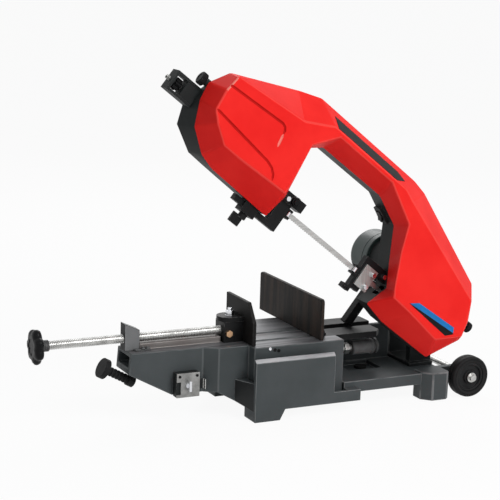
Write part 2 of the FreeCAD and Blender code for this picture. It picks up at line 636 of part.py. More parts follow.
# Transport wheels on a through axle held by the two ears on the deck's end.
axle_steps = [axle]
hub_radius = TYRE_RADIUS - TYRE_DEPTH
for side, outer_y, step, ear_y in (("front", AXLE_FRONT, 1, ear_front), ("rear", AXLE_BACK, -1, ear_back)):
    inner_y = outer_y + step * TYRE_WIDTH
    near = V(axle_x, outer_y, axle_z)
    far = V(axle_x, inner_y, axle_z)
    axle_steps.append(rod(12.0, near - V(0, 1 * step, 0), near - V(0, 4 * step, 0)))
    axle_steps.append(hexagon(15.0, near - V(0, 4 * step, 0), near - V(0, 12 * step, 0)))
    axle_steps.append(rod(12.0, far + V(0, SLIDE_GAP * step, 0), V(axle_x, ear_y, axle_z)))
    parts["wheel_tyre_" + side] = tube(TYRE_RADIUS, hub_radius, near, far)
    hub_near = near + V(0, 3 * step, 0)
    hub = tube(hub_radius, AXLE_RADIUS + RUN_GAP, hub_near, far)
    parts["wheel_hub_" + side] = hub.cut(tube(hub_radius - 6, 16.0, hub_near, hub_near + V(0, 6 * step, 0)))
parts["axle"] = joined(axle_steps)

# Head. Everything below is drawn with the head lowered and is swung up at the end.
head = {}
wheel_z = blade_z + BLADE_THICK / 2 + BAND_GAP + WHEEL_RADIUS
band_inner = WHEEL_RADIUS + BAND_GAP
band_outer = band_inner + BLADE_THICK
band_y = (BLADE_Y - BLADE_WIDTH / 2, BLADE_Y + BLADE_WIDTH / 2)
cover_front = SEAM_Y - COVER_DEPTH
frame_front = SEAM_Y + BODY_GAP
frame_back = frame_front + FRAME_DEPTH
rim = []
face = []
for center_x, corners in ((IDLER_X, IDLER_THROAT), (DRIVE_X, DRIVE_LOBE), (IDLER_X, IDLER_LOBE)):
    for rim_corner, face_corner in corners:
        rim.append((center_x + rim_corner[0], wheel_z + rim_corner[1]))
        face.append((center_x + face_corner[0], wheel_z + face_corner[1]))
left_side = min(x for x, z in rim)
right_side = max(x for x, z in rim)
idler_exit = rim[0][0]
throat_left = rim[1][0]
throat_right = rim[6][0]
drive_exit = rim[7][0]

# Front cover: the red faceted shell over the frame's open front.
shell = tapered(rim, SEAM_Y, face, cover_front)
hollow = tapered(inset(rim, COVER_WALL), SEAM_Y, inset(face, COVER_WALL), cover_front + COVER_WALL)
head["front_cover"] = shell.cut(hollow)

# Head frame: the black cast tray that holds both band wheels, with the tension block's rails.
frame_rim = inset(rim, 1.0)
back_rim = []
for index, (x, z) in enumerate(frame_rim):
    shift = BACK_DRAWN_IN.get(index, (0, 0))
    back_rim.append((x + shift[0], z + shift[1]))
frame_solid = tapered(frame_rim, frame_front, back_rim, frame_back)
tray_back = frame_back - FRAME_BACK_WALL
tray = tapered(inset(frame_rim, FRAME_WALL), frame_front, inset(back_rim, FRAME_WALL), tray_back)
frame = frame_solid.cut(tray)
block_z = (wheel_z - 32, wheel_z + 24)
block_y = (tray_back - 12, tray_back - SLIDE_GAP)
tension_z = wheel_z - TENSION_DROP
tension_y = (block_y[0] + block_y[1]) / 2
lower_rail = (block_z[0] - SLIDE_GAP - 8, block_z[0] - SLIDE_GAP)
upper_rail = (block_z[1] + SLIDE_GAP, block_z[1] + SLIDE_GAP + 8)
for rail_z in (lower_rail, upper_rail):
    frame = frame.fuse(box((IDLER_X - 52, IDLER_X + 58), (block_y[0], tray_back), rail_z))
slot_y = (band_y[0] - 4, band_y[1] + 4)
slot_z = (blade_z - BLADE_WIDTH, blade_z + BLADE_WIDTH)
for exit_x in (idler_exit + 6, drive_exit - 10):
    frame = frame.cut(box((exit_x - 25, exit_x + 25), slot_y, slot_z))
frame = frame.cut(rod(SHAFT_RADIUS + 3, V(DRIVE_X, frame_front, wheel_z), V(DRIVE_X, frame_back, wheel_z)))


def tension_at(x):
    return V(x, tension_y, tension_z)


frame = frame.cut(rod(TENSION_RADIUS + 1, tension_at(left_side - 20), tension_at(left_side + 40)))

# Cover knobs: one at each end of the frame, on studs that turn in bosses on the frame's end walls.
knob_y = SEAM_Y + 17
for name, edge_x, toward, knob_z, knob_radius in (
    ("cover_knob_right", right_side, 1, wheel_z - 23, 13.0),
    ("cover_knob_left", left_side, -1, wheel_z + 17, 15.0),
):
    stud_start = V(edge_x - 24 * toward, knob_y, knob_z)
    stud_end = V(edge_x + 3 * toward, knob_y, knob_z)
    grip = rod(knob_radius, stud_end, stud_end + V(14 * toward, 0, 0))
    head[name] = joined([rod(KNOB_STUD, stud_start, stud_end), grip])
    boss = rod(KNOB_BOSS, stud_start, stud_end - V(SLIDE_GAP * toward, 0, 0))
    frame = frame.fuse(boss).cut(rod(KNOB_STUD + RUN_GAP, stud_start - V(toward, 0, 0), stud_end))

# Switch rocker on the throat side of the frame, in a bezel that belongs to the frame.
bezel_start, bezel_end = frame_rim[4], frame_rim[5]
bezel_tilt = math.degrees(math.atan2(bezel_start[1] - bezel_end[1], bezel_end[0] - bezel_start[0]))
bezel_share = 0.70
bezel_at = V(
    bezel_start[0] + bezel_share * (bezel_end[0] - bezel_start[0]), 0,
    bezel_start[1] + bezel_share * (bezel_end[1] - bezel_start[1]),
)
switch_y = (frame_front + 16, frame_back - 6)
pocket_half = 12.0
bezel_proud = 9.0
well_top = 4.0 - bezel_proud
well_y = (switch_y[0] + 6, switch_y[1] - 6)
bezel = box((-21, 21), switch_y, (-bezel_proud, 3))
bezel = bezel.cut(box((-pocket_half, pocket_half), well_y, (-bezel_proud, well_top)))
rocker_half = pocket_half - BODY_GAP
rocker_profile = [
    (-rocker_half, -bezel_proud), (-rocker_half, -bezel_proud - 4), (0, -bezel_proud - 2),
    (rocker_half, -bezel_proud - 4), (rocker_half, -bezel_proud), (0, well_top - BODY_GAP),
]
rocker_y = (well_y[0] + BODY_GAP, well_y[1] - BODY_GAP)
pin_y = (well_y[0] - 3, well_y[1] + 3)
rocker_pin = rod(PIN_RADIUS, V(0, pin_y[0], -bezel_proud), V(0, pin_y[1], -bezel_proud))
pin_hole = rod(PIN_RADIUS + RUN_GAP, V(0, pin_y[0] - 1, -bezel_proud), V(0, pin_y[1] + 1, -bezel_proud))
bezel = bezel.cut(pin_hole)
rocker = joined([prism_y(rocker_profile, rocker_y[0], rocker_y[1]), rocker_pin])
rocker.rotate(V(0, 0, -bezel_proud), Y_AXIS, ROCKER_TILT)
for shape in (bezel, rocker):
    shape.rotate(V(0, 0, 0), Y_AXIS, bezel_tilt)
    shape.translate(bezel_at)
head["head_frame"] = joined([frame, bezel.cut(tray)])
head["switch_rocker"] = rocker

# Labels: bare plates on the drive lobe's face and on the arch's upper facet.
label_outline = []
for x, z in ((-32, 7 - R), (-11, 22 - R), (R + 18, 30 - R), (R + 26, 16 - R), (R + 10, 2 - R)):
    label_outline.append((DRIVE_X + x, wheel_z + z))
head["drive_label"] = prism_y(label_outline, cover_front, cover_front - LABEL_THICK)
facet_left, facet_low = face[16]
facet_high = rim[16][1]
facet_normal = V(0, facet_low - facet_high, COVER_DEPTH)
facet_normal.normalize()
arch_label = []
for along, share in ((8, 0.04), (204, 0.04), (236, 0.40), (214, 0.60), (2, 0.60)):
    facet_z = facet_low + share * (facet_high - facet_low)
    arch_label.append(V(facet_left + along, cover_front + share * COVER_DEPTH, facet_z))
head["arch_label"] = Part.Face(closed_wire(arch_label)).extrude(facet_normal * LABEL_THICK)


def band_wheel(center_x, bore):
    front_y = BLADE_Y - WHEEL_WIDTH / 2
    back_y = BLADE_Y + WHEEL_WIDTH / 2
    center = V(center_x, 0, wheel_z)
    wheel = rod(WHEEL_RADIUS, center + V(0, front_y, 0), center + V(0, back_y, 0))
    flange_start = center + V(0, back_y, 0)
    wheel = wheel.fuse(rod(WHEEL_RADIUS + WHEEL_FLANGE, flange_start, flange_start + V(0, 2, 0)))
    for near_y, far_y in ((front_y, front_y + 6), (back_y - 4, back_y + 2)):
        recess = tube(WHEEL_RADIUS - 14, 34.0, center + V(0, near_y, 0), center + V(0, far_y, 0))
        wheel = wheel.cut(recess)
    spoke_radius = (WHEEL_RADIUS + 20) / 2
    for index in range(5):
        angle = math.radians(72.0 * index)
        hole = center + V(spoke_radius * math.cos(angle), front_y, spoke_radius * math.sin(angle))
        wheel = wheel.cut(rod(13.0, hole, hole + V(0, WHEEL_WIDTH, 0)))
    return wheel.cut(rod(bore, center, center + V(0, back_y + 4, 0))).removeSplitter()


# Idler wheel on its stepped axle, carried by the tension block and its screw.
idler_center = V(IDLER_X, 0, wheel_z)
bearing_radius = 21.0
wheel_front = BLADE_Y - WHEEL_WIDTH / 2
wheel_back = BLADE_Y + WHEEL_WIDTH / 2 + 2
head["idler_wheel"] = band_wheel(IDLER_X, bearing_radius + RUN_GAP)
idler_axle = []
for step_radius, step_start, step_end in (
    (bearing_radius + 4, wheel_front - 4, wheel_front - SLIDE_GAP),
    (bearing_radius, wheel_front - SLIDE_GAP, wheel_back + SLIDE_GAP),
    (bearing_radius + 4, wheel_back + SLIDE_GAP, block_y[0]),
):
    idler_axle.append(rod(step_radius, idler_center + V(0, step_start, 0), idler_center + V(0, step_end, 0)))
head["idler_axle"] = joined(idler_axle)
block_x = (IDLER_X - 34, IDLER_X + 30)
head["tension_block"] = box(block_x, block_y, block_z)
clevis_x = (left_side - CLEVIS_LENGTH, left_side + 6)
head["tension_screw"] = rod(TENSION_RADIUS, tension_at(clevis_x[0] - 8), tension_at(block_x[0]))

# Tension bracket and hand nut at the idler end.
clevis_y = (tension_y - 20, tension_y + 12)
clevis_half = CLEVIS_HALF + CLEVIS_PLATE
clevis = []
for side_z in (tension_z - clevis_half, tension_z + CLEVIS_HALF):
    clevis.append(box(clevis_x, clevis_y, (side_z, side_z + CLEVIS_PLATE)))
clevis_end = clevis_x[0] + CLEVIS_PLATE
end_plate = box((clevis_x[0], clevis_end), clevis_y, (tension_z - clevis_half, tension_z + clevis_half))
clevis.append(end_plate.cut(rod(TENSION_RADIUS + 1, tension_at(clevis_x[0]), tension_at(clevis_end))))
head["tension_bracket"] = joined(clevis).cut(frame_solid)
nut_left = clevis_end + SLIDE_GAP
nut_right = nut_left + 24
nut_radius = CLEVIS_HALF - 3
nut = rod(nut_radius * 0.63, tension_at(nut_left), tension_at(nut_right))
nut = nut.fuse(star(nut_radius, 6, nut_left + 6, nut_right - 4, tension_y, tension_z))
nut_thread = rod(TENSION_RADIUS + RUN_GAP, tension_at(nut_left), tension_at(nut_right))
head["tension_nut"] = nut.cut(nut_thread).removeSplitter()

# Drive wheel on its shaft, running in a bearing in the gear case.
drive_center = V(DRIVE_X, 0, wheel_z)
head["drive_wheel"] = band_wheel(DRIVE_X, SHAFT_RADIUS)
shaft_back = GEAR_CASE_BACK - 10
drive_shaft = rod(SHAFT_RADIUS, drive_center + V(0, wheel_front, 0), drive_center + V(0, shaft_back, 0))
drive_nut = hexagon(30.0, drive_center + V(0, wheel_front - 6, 0), drive_center + V(0, wheel_front, 0))
head["drive_shaft"] = joined([drive_shaft, drive_nut])
bearing_outer = SHAFT_RADIUS + 11
case_start = drive_center + V(0, frame_back, 0)
bearing_end = case_start + V(0, BEARING_WIDTH, 0)
head["drive_bearing"] = tube(bearing_outer, SHAFT_RADIUS + RUN_GAP, case_start, bearing_end)

# Gear case and motor on the frame's back, with the gland for the supply lead.
motor_x = DRIVE_X - MOTOR_SHIFT
motor_z = wheel_z - MOTOR_DROP
motor_start = V(motor_x, frame_back, motor_z)
motor_face = V(motor_x, GEAR_CASE_BACK, motor_z)
motor_end = V(motor_x, MOTOR_BACK, motor_z)
case = rod(GEAR_CASE_RADIUS, case_start, drive_center + V(0, GEAR_CASE_BACK, 0))
case = case.fuse(rod(CASE_FLANGE, motor_start, motor_face))
case = case.cut(rod(bearing_outer, case_start, bearing_end))
case = case.cut(rod(SHAFT_RADIUS + 4, case_start, drive_center + V(0, GEAR_CASE_BACK - 8, 0)))
head["gear_case"] = case.removeSplitter()
motor = rod(MOTOR_RADIUS, motor_face, motor_end)
motor_rim = [edge for edge in motor.Edges if edge.BoundBox.YMin > MOTOR_BACK - 1]
motor = motor.makeFillet(MOTOR_ROUND, motor_rim)
gland_at = V(motor_x, (GEAR_CASE_BACK + MOTOR_BACK) / 2 - 4, motor_z + MOTOR_RADIUS - 2)
gland_neck = gland_at + V(0, 0, 12)
gland_top = gland_at + V(0, 0, 20)
motor = joined([motor, rod(9.0, gland_at, gland_neck), hexagon(20.0, gland_neck, gland_top)])
head["motor_body"] = motor.cut(rod(4.0, gland_at + V(0, 0, 6), gland_top))

# Stop leg: the black bar that lands on the deck's pad when the head is down.
leg_x = (LEG_X - LEG_WIDTH / 2, LEG_X + LEG_WIDTH / 2)
leg_y = (LEG_Y - LEG_WIDTH / 2, LEG_Y + LEG_WIDTH / 2)
leg_arm = wheel_z - GEAR_CASE_RADIUS - 2 - LEG_ARM_THICK
leg = box(leg_x, (frame_back, leg_y[1]), (leg_arm, leg_arm + LEG_ARM_THICK))
head["stop_leg"] = joined([leg, box(leg_x, leg_y, (pad_top + BODY_GAP, leg_arm))])


def pivot_at(y):
    return V(PIVOT_X, y, pivot_z)


# Pivot shaft with its flange, and the lever that clamps the head's angle.
shaft_end = cheek_back + 28
flange_back = frame_back + 12
flange = rod(PIVOT_FLANGE, pivot_at(frame_back), pivot_at(flange_back))
shaft = rod(PIVOT_RADIUS, pivot_at(flange_back), pivot_at(shaft_end))
head["pivot_shaft"] = joined([flange, shaft, rod(20.0, pivot_at(shaft_end), pivot_at(shaft_end + 6))])
lever_start = pivot_at(cheek_back + BODY_GAP)
lever_end = pivot_at(shaft_end - BODY_GAP)
lever_mid = (lever_start + lever_end) * 0.5
lever_tip = lever_mid + V(LEVER_REACH_X, 0, LEVER_REACH_Z)
lever_ball = Part.makeSphere(12.0, lever_tip)
lever = joined([rod(22.0, lever_start, lever_end), rod(6.0, lever_mid, lever_tip), lever_ball])
head["clamp_lever"] = lever.cut(rod(PIVOT_RADIUS + RUN_GAP, lever_start, lever_end))

# Band: the steel loop, flat on the wheels and turned upright at the guides.
twist_left = (IDLER_X + TWIST_LEAD, idler_exit - 4)
twist_right = (drive_exit - 30, DRIVE_X - TWIST_LEAD)


def band_section(x, turn):
    angle = math.radians(turn)
    half_w = BLADE_WIDTH / 2
    half_t = BLADE_THICK / 2
    corners = []
    for across, through in ((-half_w, -half_t), (half_w, -half_t), (half_w, half_t), (-half_w, half_t)):
        at_y = BLADE_Y + across * math.cos(angle) - through * math.sin(angle)
        at_z = blade_z + across * math.sin(angle) + through * math.cos(angle)
        corners.append(V(x, at_y, at_z))
    return closed_wire(corners)


def twisted(x_range, turn_start, turn_end):
    wires = []
    steps = 12
    for index in range(steps + 1):
        share = index / steps
        x = x_range[0] + share * (x_range[1] - x_range[0])
        wires.append(band_section(x, turn_start + share * (turn_end - turn_start)))
    return Part.makeLoft(wires, True, True)


def band_half(center_x, side):
    center = V(center_x, band_y[0], wheel_z)
    ring = tube(band_outer, band_inner, center, center + V(0, BLADE_WIDTH, 0))
    reach = band_outer + 10
    far_x = center_x + side * reach
    keep_x = (min(center_x, far_x), max(center_x, far_x))
    return ring.common(box(keep_x, band_y, (wheel_z - reach, wheel_z + reach)))


flat_z = (blade_z - BLADE_THICK / 2, blade_z + BLADE_THICK / 2)
upright_y = (BLADE_Y - BLADE_THICK / 2, BLADE_Y + BLADE_THICK / 2)
upright_z = (blade_z - BLADE_WIDTH / 2, blade_z + BLADE_WIDTH / 2)
band = [
    band_half(IDLER_X, -1),
    box((IDLER_X, DRIVE_X), band_y, (wheel_z + band_inner, wheel_z + band_outer)),
    band_half(DRIVE_X, 1),
    box((twist_right[1], DRIVE_X), band_y, flat_z),
    twisted(twist_right, 90, 0),
    box((twist_left[1], twist_right[0]), upright_y, upright_z),
    twisted(twist_left, 0, 90),
    box((IDLER_X, twist_left[0]), band_y, flat_z),
]
head["blade"] = joined(band)

# Left blade guide: an L-shaped bar that slides along the cut, clamped by a lever.
guide_y = (BLADE_Y - GUIDE_WIDTH / 2, BLADE_Y + GUIDE_WIDTH / 2)
bar_z = (blade_z - BAR_DROP - BAR_HEIGHT, blade_z - BAR_DROP)
slit_y = (BLADE_Y - SLIT_HALF, BLADE_Y + SLIT_HALF)
slit_z = (blade_z - BLADE_WIDTH / 2 - 3.5, blade_z + BLADE_WIDTH / 2 + 3.5)
roller_gap = BLADE_THICK / 2 + BAND_GAP + ROLLER_RADIUS
roller_z = (blade_z - ROLLER_HALF, blade_z + ROLLER_HALF)
head_z = BED_TOP + GUIDE_LIFT
head_front = guide_y[0] - 6


def guide_post(x_range, outward):
    post = box(x_range, guide_y, (bar_z[1], head_z))
    lip_x = (x_range[1], x_range[1] + LIP) if outward > 0 else (x_range[0] - LIP, x_range[0])
    center_x = (lip_x[0] + lip_x[1]) / 2
    shapes = [post]
    lower_lip = (roller_z[0] - 6, roller_z[0] - SLIDE_GAP)
    upper_lip = (roller_z[1] + SLIDE_GAP, roller_z[1] + 6)
    for lip_z in (lower_lip, upper_lip):
        shapes.append(box(lip_x, guide_y, lip_z))
    for sign in (-1, 1):
        pin_y = BLADE_Y + sign * roller_gap
        shapes.append(rod(PIN_RADIUS, V(center_x, pin_y, lower_lip[1]), V(center_x, pin_y, upper_lip[0])))
    return joined(shapes), center_x


post_left = throat_left + GUIDE_SETBACK
post_x = (post_left, post_left + POST_WIDTH)
left_post, left_roller_x = guide_post(post_x, 1)
bar = box((idler_exit - 84, post_x[1]), guide_y, bar_z)
left_head_x = (post_x[0], post_x[1] + GUIDE_HEAD_REACH)
left_head = box(left_head_x, (head_front, guide_y[1] + 8), (head_z, head_z + 24))
knob_at = V(post_x[1] - 4, head_front, head_z + 13)
guide_knob = rod(11.0, knob_at, knob_at - V(0, 14, 0))
cap_screw_at = V(post_x[0] + 8, head_front, head_z + 8)
guide_screw = rod(5.5, cap_screw_at, cap_screw_at - V(0, 8, 0))
slit = box((post_x[0] - LIP, post_x[1] + 2 * LIP), slit_y, slit_z)
head["left_guide"] = joined([left_post, bar, left_head, guide_knob, guide_screw]).cut(slit)
clamp_x = (idler_exit - 58, idler_exit - 18)
way_y = (guide_y[0] - SLIDE_GAP, guide_y[1] + SLIDE_GAP)
way_z = (bar_z[0] - SLIDE_GAP, bar_z[1] + SLIDE_GAP)
clamp_z = (way_z[0] - 9, bar_z[1] + 10)
bar_clamp = box(clamp_x, (way_y[0] - 5, way_y[1] + 5), clamp_z).cut(box(clamp_x, way_y, way_z))
head["guide_clamp"] = bar_clamp.cut(frame_solid)
lever_at = V((clamp_x[0] + clamp_x[1]) / 2, BLADE_Y, clamp_z[0])
guide_lever = rod(10.0, lever_at - V(0, 0, SLIDE_GAP), lever_at - V(0, 0, 12))
lever_tab_z = (lever_at.z - 32, lever_at.z - 8)
lever_tab = box((lever_at.x - 24, lever_at.x + 4), (BLADE_Y - 3, BLADE_Y + 3), lever_tab_z)
head["guide_lever"] = joined([guide_lever, lever_tab])

# Right blade guide: a fixed post on the drive lobe with a steel plate and wiper.
right_x = (throat_right - 14 - POST_WIDTH, throat_right - 14)
right_post, right_roller_x = guide_post(right_x, -1)
arm_block = box((right_x[0], drive_exit + 12), guide_y, (head_z, head_z + 26))
arm_bolt_at = V(right_x[0] + 66, guide_y[0], head_z + 12)
arm_bolt = rod(5.5, arm_bolt_at, arm_bolt_at - V(0, 8, 0))
wiper_z = (bar_z[1] - 12, bar_z[1])
wiper = box((right_x[0] - 12, right_x[0] + 10), guide_y, wiper_z)
for index in range(4):
    notch_x = right_x[0] - 9 + 5 * index
    wiper = wiper.cut(box((notch_x, notch_x + 2), guide_y, (wiper_z[0], wiper_z[0] + 7)))
right_slit = box((right_x[0] - 20, drive_exit + 20), slit_y, slit_z)
right_guide = joined([right_post, arm_block, arm_bolt, wiper]).cut(right_slit)
head["right_guide"] = right_guide.cut(frame_solid)
plate_x = (right_x[0] + 8, right_x[0] + 46)
steel_plate = [box(plate_x, (head_front, guide_y[0]), (blade_z - 28, head_z + 10))]
for bolt_z in (head_z - 2, blade_z - 18):
    bolt_at = V(plate_x[1] - 10, head_front, bolt_z)
    steel_plate.append(rod(5.5, bolt_at, bolt_at - V(0, 8, 0)))
head["guide_plate"] = joined(steel_plate)

# Guide rollers, two to a guide, each on its own pin.
for name, at_x in (("left", left_roller_x), ("right", right_roller_x)):
    for side, sign in (("front", -1), ("back", 1)):
        roller_y = BLADE_Y + sign * roller_gap
        low = V(at_x, roller_y, roller_z[0])
        high = V(at_x, roller_y, roller_z[1])
        head["roller_%s_%s" % (name, side)] = tube(ROLLER_RADIUS, PIN_RADIUS + RUN_GAP, low, high)

for name, shape in head.items():
    shape.rotate(V(PIVOT_X, 0, pivot_z), Y_AXIS, HEAD_RAISE)
    parts[name] = shape

for name, shape in parts.items():
    solid = shape.Solids[0]
    solid.exportStep("parts/" + name + ".step")
    print(name, len(shape.Solids), solid.isValid(), round(solid.Volume))
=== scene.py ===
import json
import math
import bpy
from mathutils import Matrix, Vector

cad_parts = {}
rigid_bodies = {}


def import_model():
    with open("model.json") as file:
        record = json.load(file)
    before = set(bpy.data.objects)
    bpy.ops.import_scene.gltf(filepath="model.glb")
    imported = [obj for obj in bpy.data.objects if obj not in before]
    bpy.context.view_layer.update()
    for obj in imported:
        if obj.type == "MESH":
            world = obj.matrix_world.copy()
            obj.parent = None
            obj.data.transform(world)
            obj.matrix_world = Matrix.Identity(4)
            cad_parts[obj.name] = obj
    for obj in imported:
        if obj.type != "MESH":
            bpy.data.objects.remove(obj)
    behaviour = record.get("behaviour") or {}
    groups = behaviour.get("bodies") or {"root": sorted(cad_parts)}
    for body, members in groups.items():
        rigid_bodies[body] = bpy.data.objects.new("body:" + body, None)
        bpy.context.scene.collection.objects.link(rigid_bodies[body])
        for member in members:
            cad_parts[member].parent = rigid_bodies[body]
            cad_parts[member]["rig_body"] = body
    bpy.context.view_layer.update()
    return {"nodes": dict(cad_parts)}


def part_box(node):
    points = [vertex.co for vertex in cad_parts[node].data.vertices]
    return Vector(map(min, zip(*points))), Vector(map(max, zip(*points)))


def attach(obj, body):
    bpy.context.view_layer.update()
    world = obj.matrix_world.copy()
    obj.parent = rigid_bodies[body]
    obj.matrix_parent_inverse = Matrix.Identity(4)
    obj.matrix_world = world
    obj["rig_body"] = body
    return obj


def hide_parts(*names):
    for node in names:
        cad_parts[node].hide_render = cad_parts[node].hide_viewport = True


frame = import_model()

# Bed casting: the hollow bed with the tapered vise arm on its left, one piece of grey iron.
# It is sand cast, its edges are fettled round, its top is machined, and it is sprayed dark grey.
# Sizes here and below are in millimetres, which MM turns into metres.
MM = 0.001
BEYOND = 999.0
WELD = 0.002
GREY_PAINT = (0.053, 0.062, 0.064)
GREY_PAINT_THIN = (0.069, 0.078, 0.081)
SCUFF_GREY = (0.15, 0.155, 0.155)
BARE_IRON = (0.34, 0.35, 0.35)
OIL_STAIN = (0.09, 0.06, 0.055)
MILLED_BED = ((0.075, 0.077, 0.082), (0.21, 0.213, 0.222))
MILLED_RAIL = ((0.16, 0.146, 0.138), (0.24, 0.222, 0.212))
CASTING_EDGE = 2.2
CASTING_ROUNDS = 3


def take(piece):
    """Selects this piece alone, in object mode, and makes it the active one."""
    if bpy.context.mode != "OBJECT":
        bpy.ops.object.mode_set(mode="OBJECT")
    bpy.ops.object.select_all(action="DESELECT")
    piece.select_set(True)
    bpy.context.view_layer.objects.active = piece


def open_all(piece):
    """Opens a piece in edit mode with all of it selected."""
    take(piece)
    bpy.ops.object.mode_set(mode="EDIT")
    bpy.ops.mesh.select_all(action="SELECT")


def apply_all(piece):
    take(piece)
    for modifier in list(piece.modifiers):
        bpy.ops.object.modifier_apply(modifier=modifier.name)


def smoothed(piece, angle=32.0):
    """Smooths the shading across soft edges and keeps the flats flat."""
    take(piece)
    bpy.ops.object.shade_smooth_by_angle(angle=math.radians(angle))
    weighted = piece.modifiers.new("flat_faces", "WEIGHTED_NORMAL")
    weighted.keep_sharp = True
    apply_all(piece)
    return piece


def welded(node, name):
    """A copy of a frame piece's mesh with its triangles welded and its flat faces joined."""
    piece = bpy.data.objects.new(name, frame["nodes"][node].data.copy())
    bpy.context.scene.collection.objects.link(piece)
    take(piece)
    bpy.ops.mesh.customdata_custom_splitnormals_clear()
    open_all(piece)
    bpy.ops.mesh.remove_doubles(threshold=WELD * MM)
    bpy.ops.mesh.dissolve_limited(angle_limit=math.radians(0.5))
    bpy.ops.object.mode_set(mode="OBJECT")
    piece.data.materials.clear()
    return piece


def dressed(piece, finish, like, replaces=True):
    """Gives a piece its finish, if it has none yet, and hangs it on a frame piece's body, in that
    piece's place or beside it."""
    if not piece.data.materials:
        piece.data.materials.append(finish)
    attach(piece, frame["nodes"][like]["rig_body"])
    if replaces:
        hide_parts(like)
    return piece


def fettled(node, edge, finish, worn=None, rounds=2, piece=None):
    """A copy of a frame piece with its edges broken; a worn finish, if given, goes on the edges
    alone."""
    piece = piece or welded(node, node + "_fettled")
    piece.data.materials.append(finish)
    if worn:
        piece.data.materials.append(worn)
    broken = piece.modifiers.new("broken_edges", "BEVEL")
    broken.width = edge * MM
    broken.segments = rounds
    broken.limit_method = "ANGLE"
    broken.angle_limit = math.radians(32.0)
    broken.use_clamp_overlap = False
    broken.material = 1 if worn else -1
    apply_all(piece)
    return dressed(smoothed(piece), finish, node)


class Wire:
    """A socket of a finish. Sums on it add Math nodes, and node() adds any other node."""

    def __init__(self, tree, socket):
        self.tree = tree
        self.socket = socket

    def node(self, kind, settings, sockets, output=0):
        made = self.tree.nodes.new("ShaderNode" + kind)
        for name, value in settings.items():
            setattr(made, name, value)
        for name, value in sockets.items():
            if isinstance(value, Wire):
                self.tree.links.new(value.socket, made.inputs[name])
            else:
                made.inputs[name].default_value = value
        return Wire(self.tree, made.outputs[output] if made.outputs else None)

    def maths(self, operation, first, second):
        return self.node("Math", {"operation": operation}, {0: first, 1: second})

    def __add__(self, other):
        return self.maths("ADD", self, other)

    def __radd__(self, other):
        return self.maths("ADD", other, self)

    def __mul__(self, other):
        return self.maths("MULTIPLY", self, other)

    def __rmul__(self, other):
        return self.maths("MULTIPLY", other, self)


def new_finish(name):
    """An empty finish and the wire of its object coordinates, in metres."""
    made = bpy.data.materials.new(name)
    made.use_nodes = True
    made.node_tree.nodes.clear()
    start = Wire(made.node_tree, None)
    return made, start.node("TexCoord", {}, {}, "Object")


def noise(at, scale, detail=3.0, roughness=0.55, stretch=(1, 1, 1)):
    drawn = at.node("Mapping", {}, {"Vector": at, "Scale": stretch})
    sockets = {"Vector": drawn, "Scale": scale, "Detail": detail, "Roughness": roughness}
    return drawn.node("TexNoise", {}, sockets)


def ramp(wire, low, high, bottom=0.0, top=1.0):
    sockets = {"Value": wire, "From Min": low, "From Max": high, "To Min": bottom, "To Max": top}
    return wire.node("MapRange", {"interpolation_type": "SMOOTHSTEP"}, sockets)


def mixed(share, first, second):
    sockets = {0: share}
    for index, colour in ((6, first), (7, second)):
        sockets[index] = colour if isinstance(colour, Wire) else (*colour, 1)
    return share.node("Mix", {"data_type": "RGBA"}, sockets, 2)


def end_finish(made, at, sockets, height=None, rise=0.1):
    """Closes a finish: the surface, its bump of a rise in millimetres, and the output."""
    if height is not None:
        bump = at.node("Bump", {}, {"Height": height, "Distance": rise * MM, "Strength": 1.0}, "Normal")
        sockets["Normal"] = bump
    surface = at.node("BsdfPrincipled", {}, sockets)
    at.node("OutputMaterial", {}, {"Surface": surface})
    return made


def cast_paint(name, rubbed, dark=1.0):
    """Sprayed paint on a casting, rubbed through to the iron in broken patches, which on edges also
    stand in for painted highlights; a dark factor below one paints shade.
    """
    made, at = new_finish(name)
    peel = noise(at, 900, 2)
    cloud = ramp(noise(at, 9, 5), 0.3, 0.7)
    scuffed = ramp(noise(at, 45, 7, 0.72), 0.62, 0.76)
    bare = ramp(noise(at, 28, 4), 0.22, 0.55)
    greys = (tuple(dark * value for value in grey) for grey in (GREY_PAINT, GREY_PAINT_THIN))
    colour = mixed(cloud, *greys)
    colour = mixed(scuffed * 0.10, colour, SCUFF_GREY)
    colour = mixed(bare * rubbed, colour, BARE_IRON)
    rough = 0.46 + 0.10 * cloud + 0.10 * scuffed
    sockets = {"Base Color": colour, "Roughness": rough, "Specular IOR Level": 0.22}
    return end_finish(made, at, sockets, peel, 0.02)


def milled_iron(name, dark, light):
    """Bare iron milled along X, with streaks of oil and stain."""
    made, at = new_finish(name)
    streak = noise(at, 70, 5, 0.65, (0.06, 1, 1))
    stain = noise(at, 16, 4)
    colour = mixed(ramp(streak, 0.35, 0.66), dark, light)
    colour = mixed(ramp(stain, 0.5, 0.75) * 0.35, colour, OIL_STAIN)
    sockets = {"Base Color": colour, "Metallic": 0.45, "Roughness": 0.38 + 0.18 * stain}
    return end_finish(made, at, sockets, streak, 0.03)


def faces_in(piece, finish, low, high, turn=Matrix.Identity(4), facing=None):
    """Gives another finish to the faces whose middle, after a turn, lies in a box in millimetres, or to
    those of them alone that face one way."""
    piece.data.materials.append(finish)
    index = len(piece.data.materials) - 1
    for face in piece.data.polygons:
        middle = (turn @ face.center) / MM
        inside = all(low[axis] <= middle[axis] <= high[axis] for axis in range(3))
        if inside and (facing is None or face.normal.dot(facing) > 0.98):
            face.material_index = index


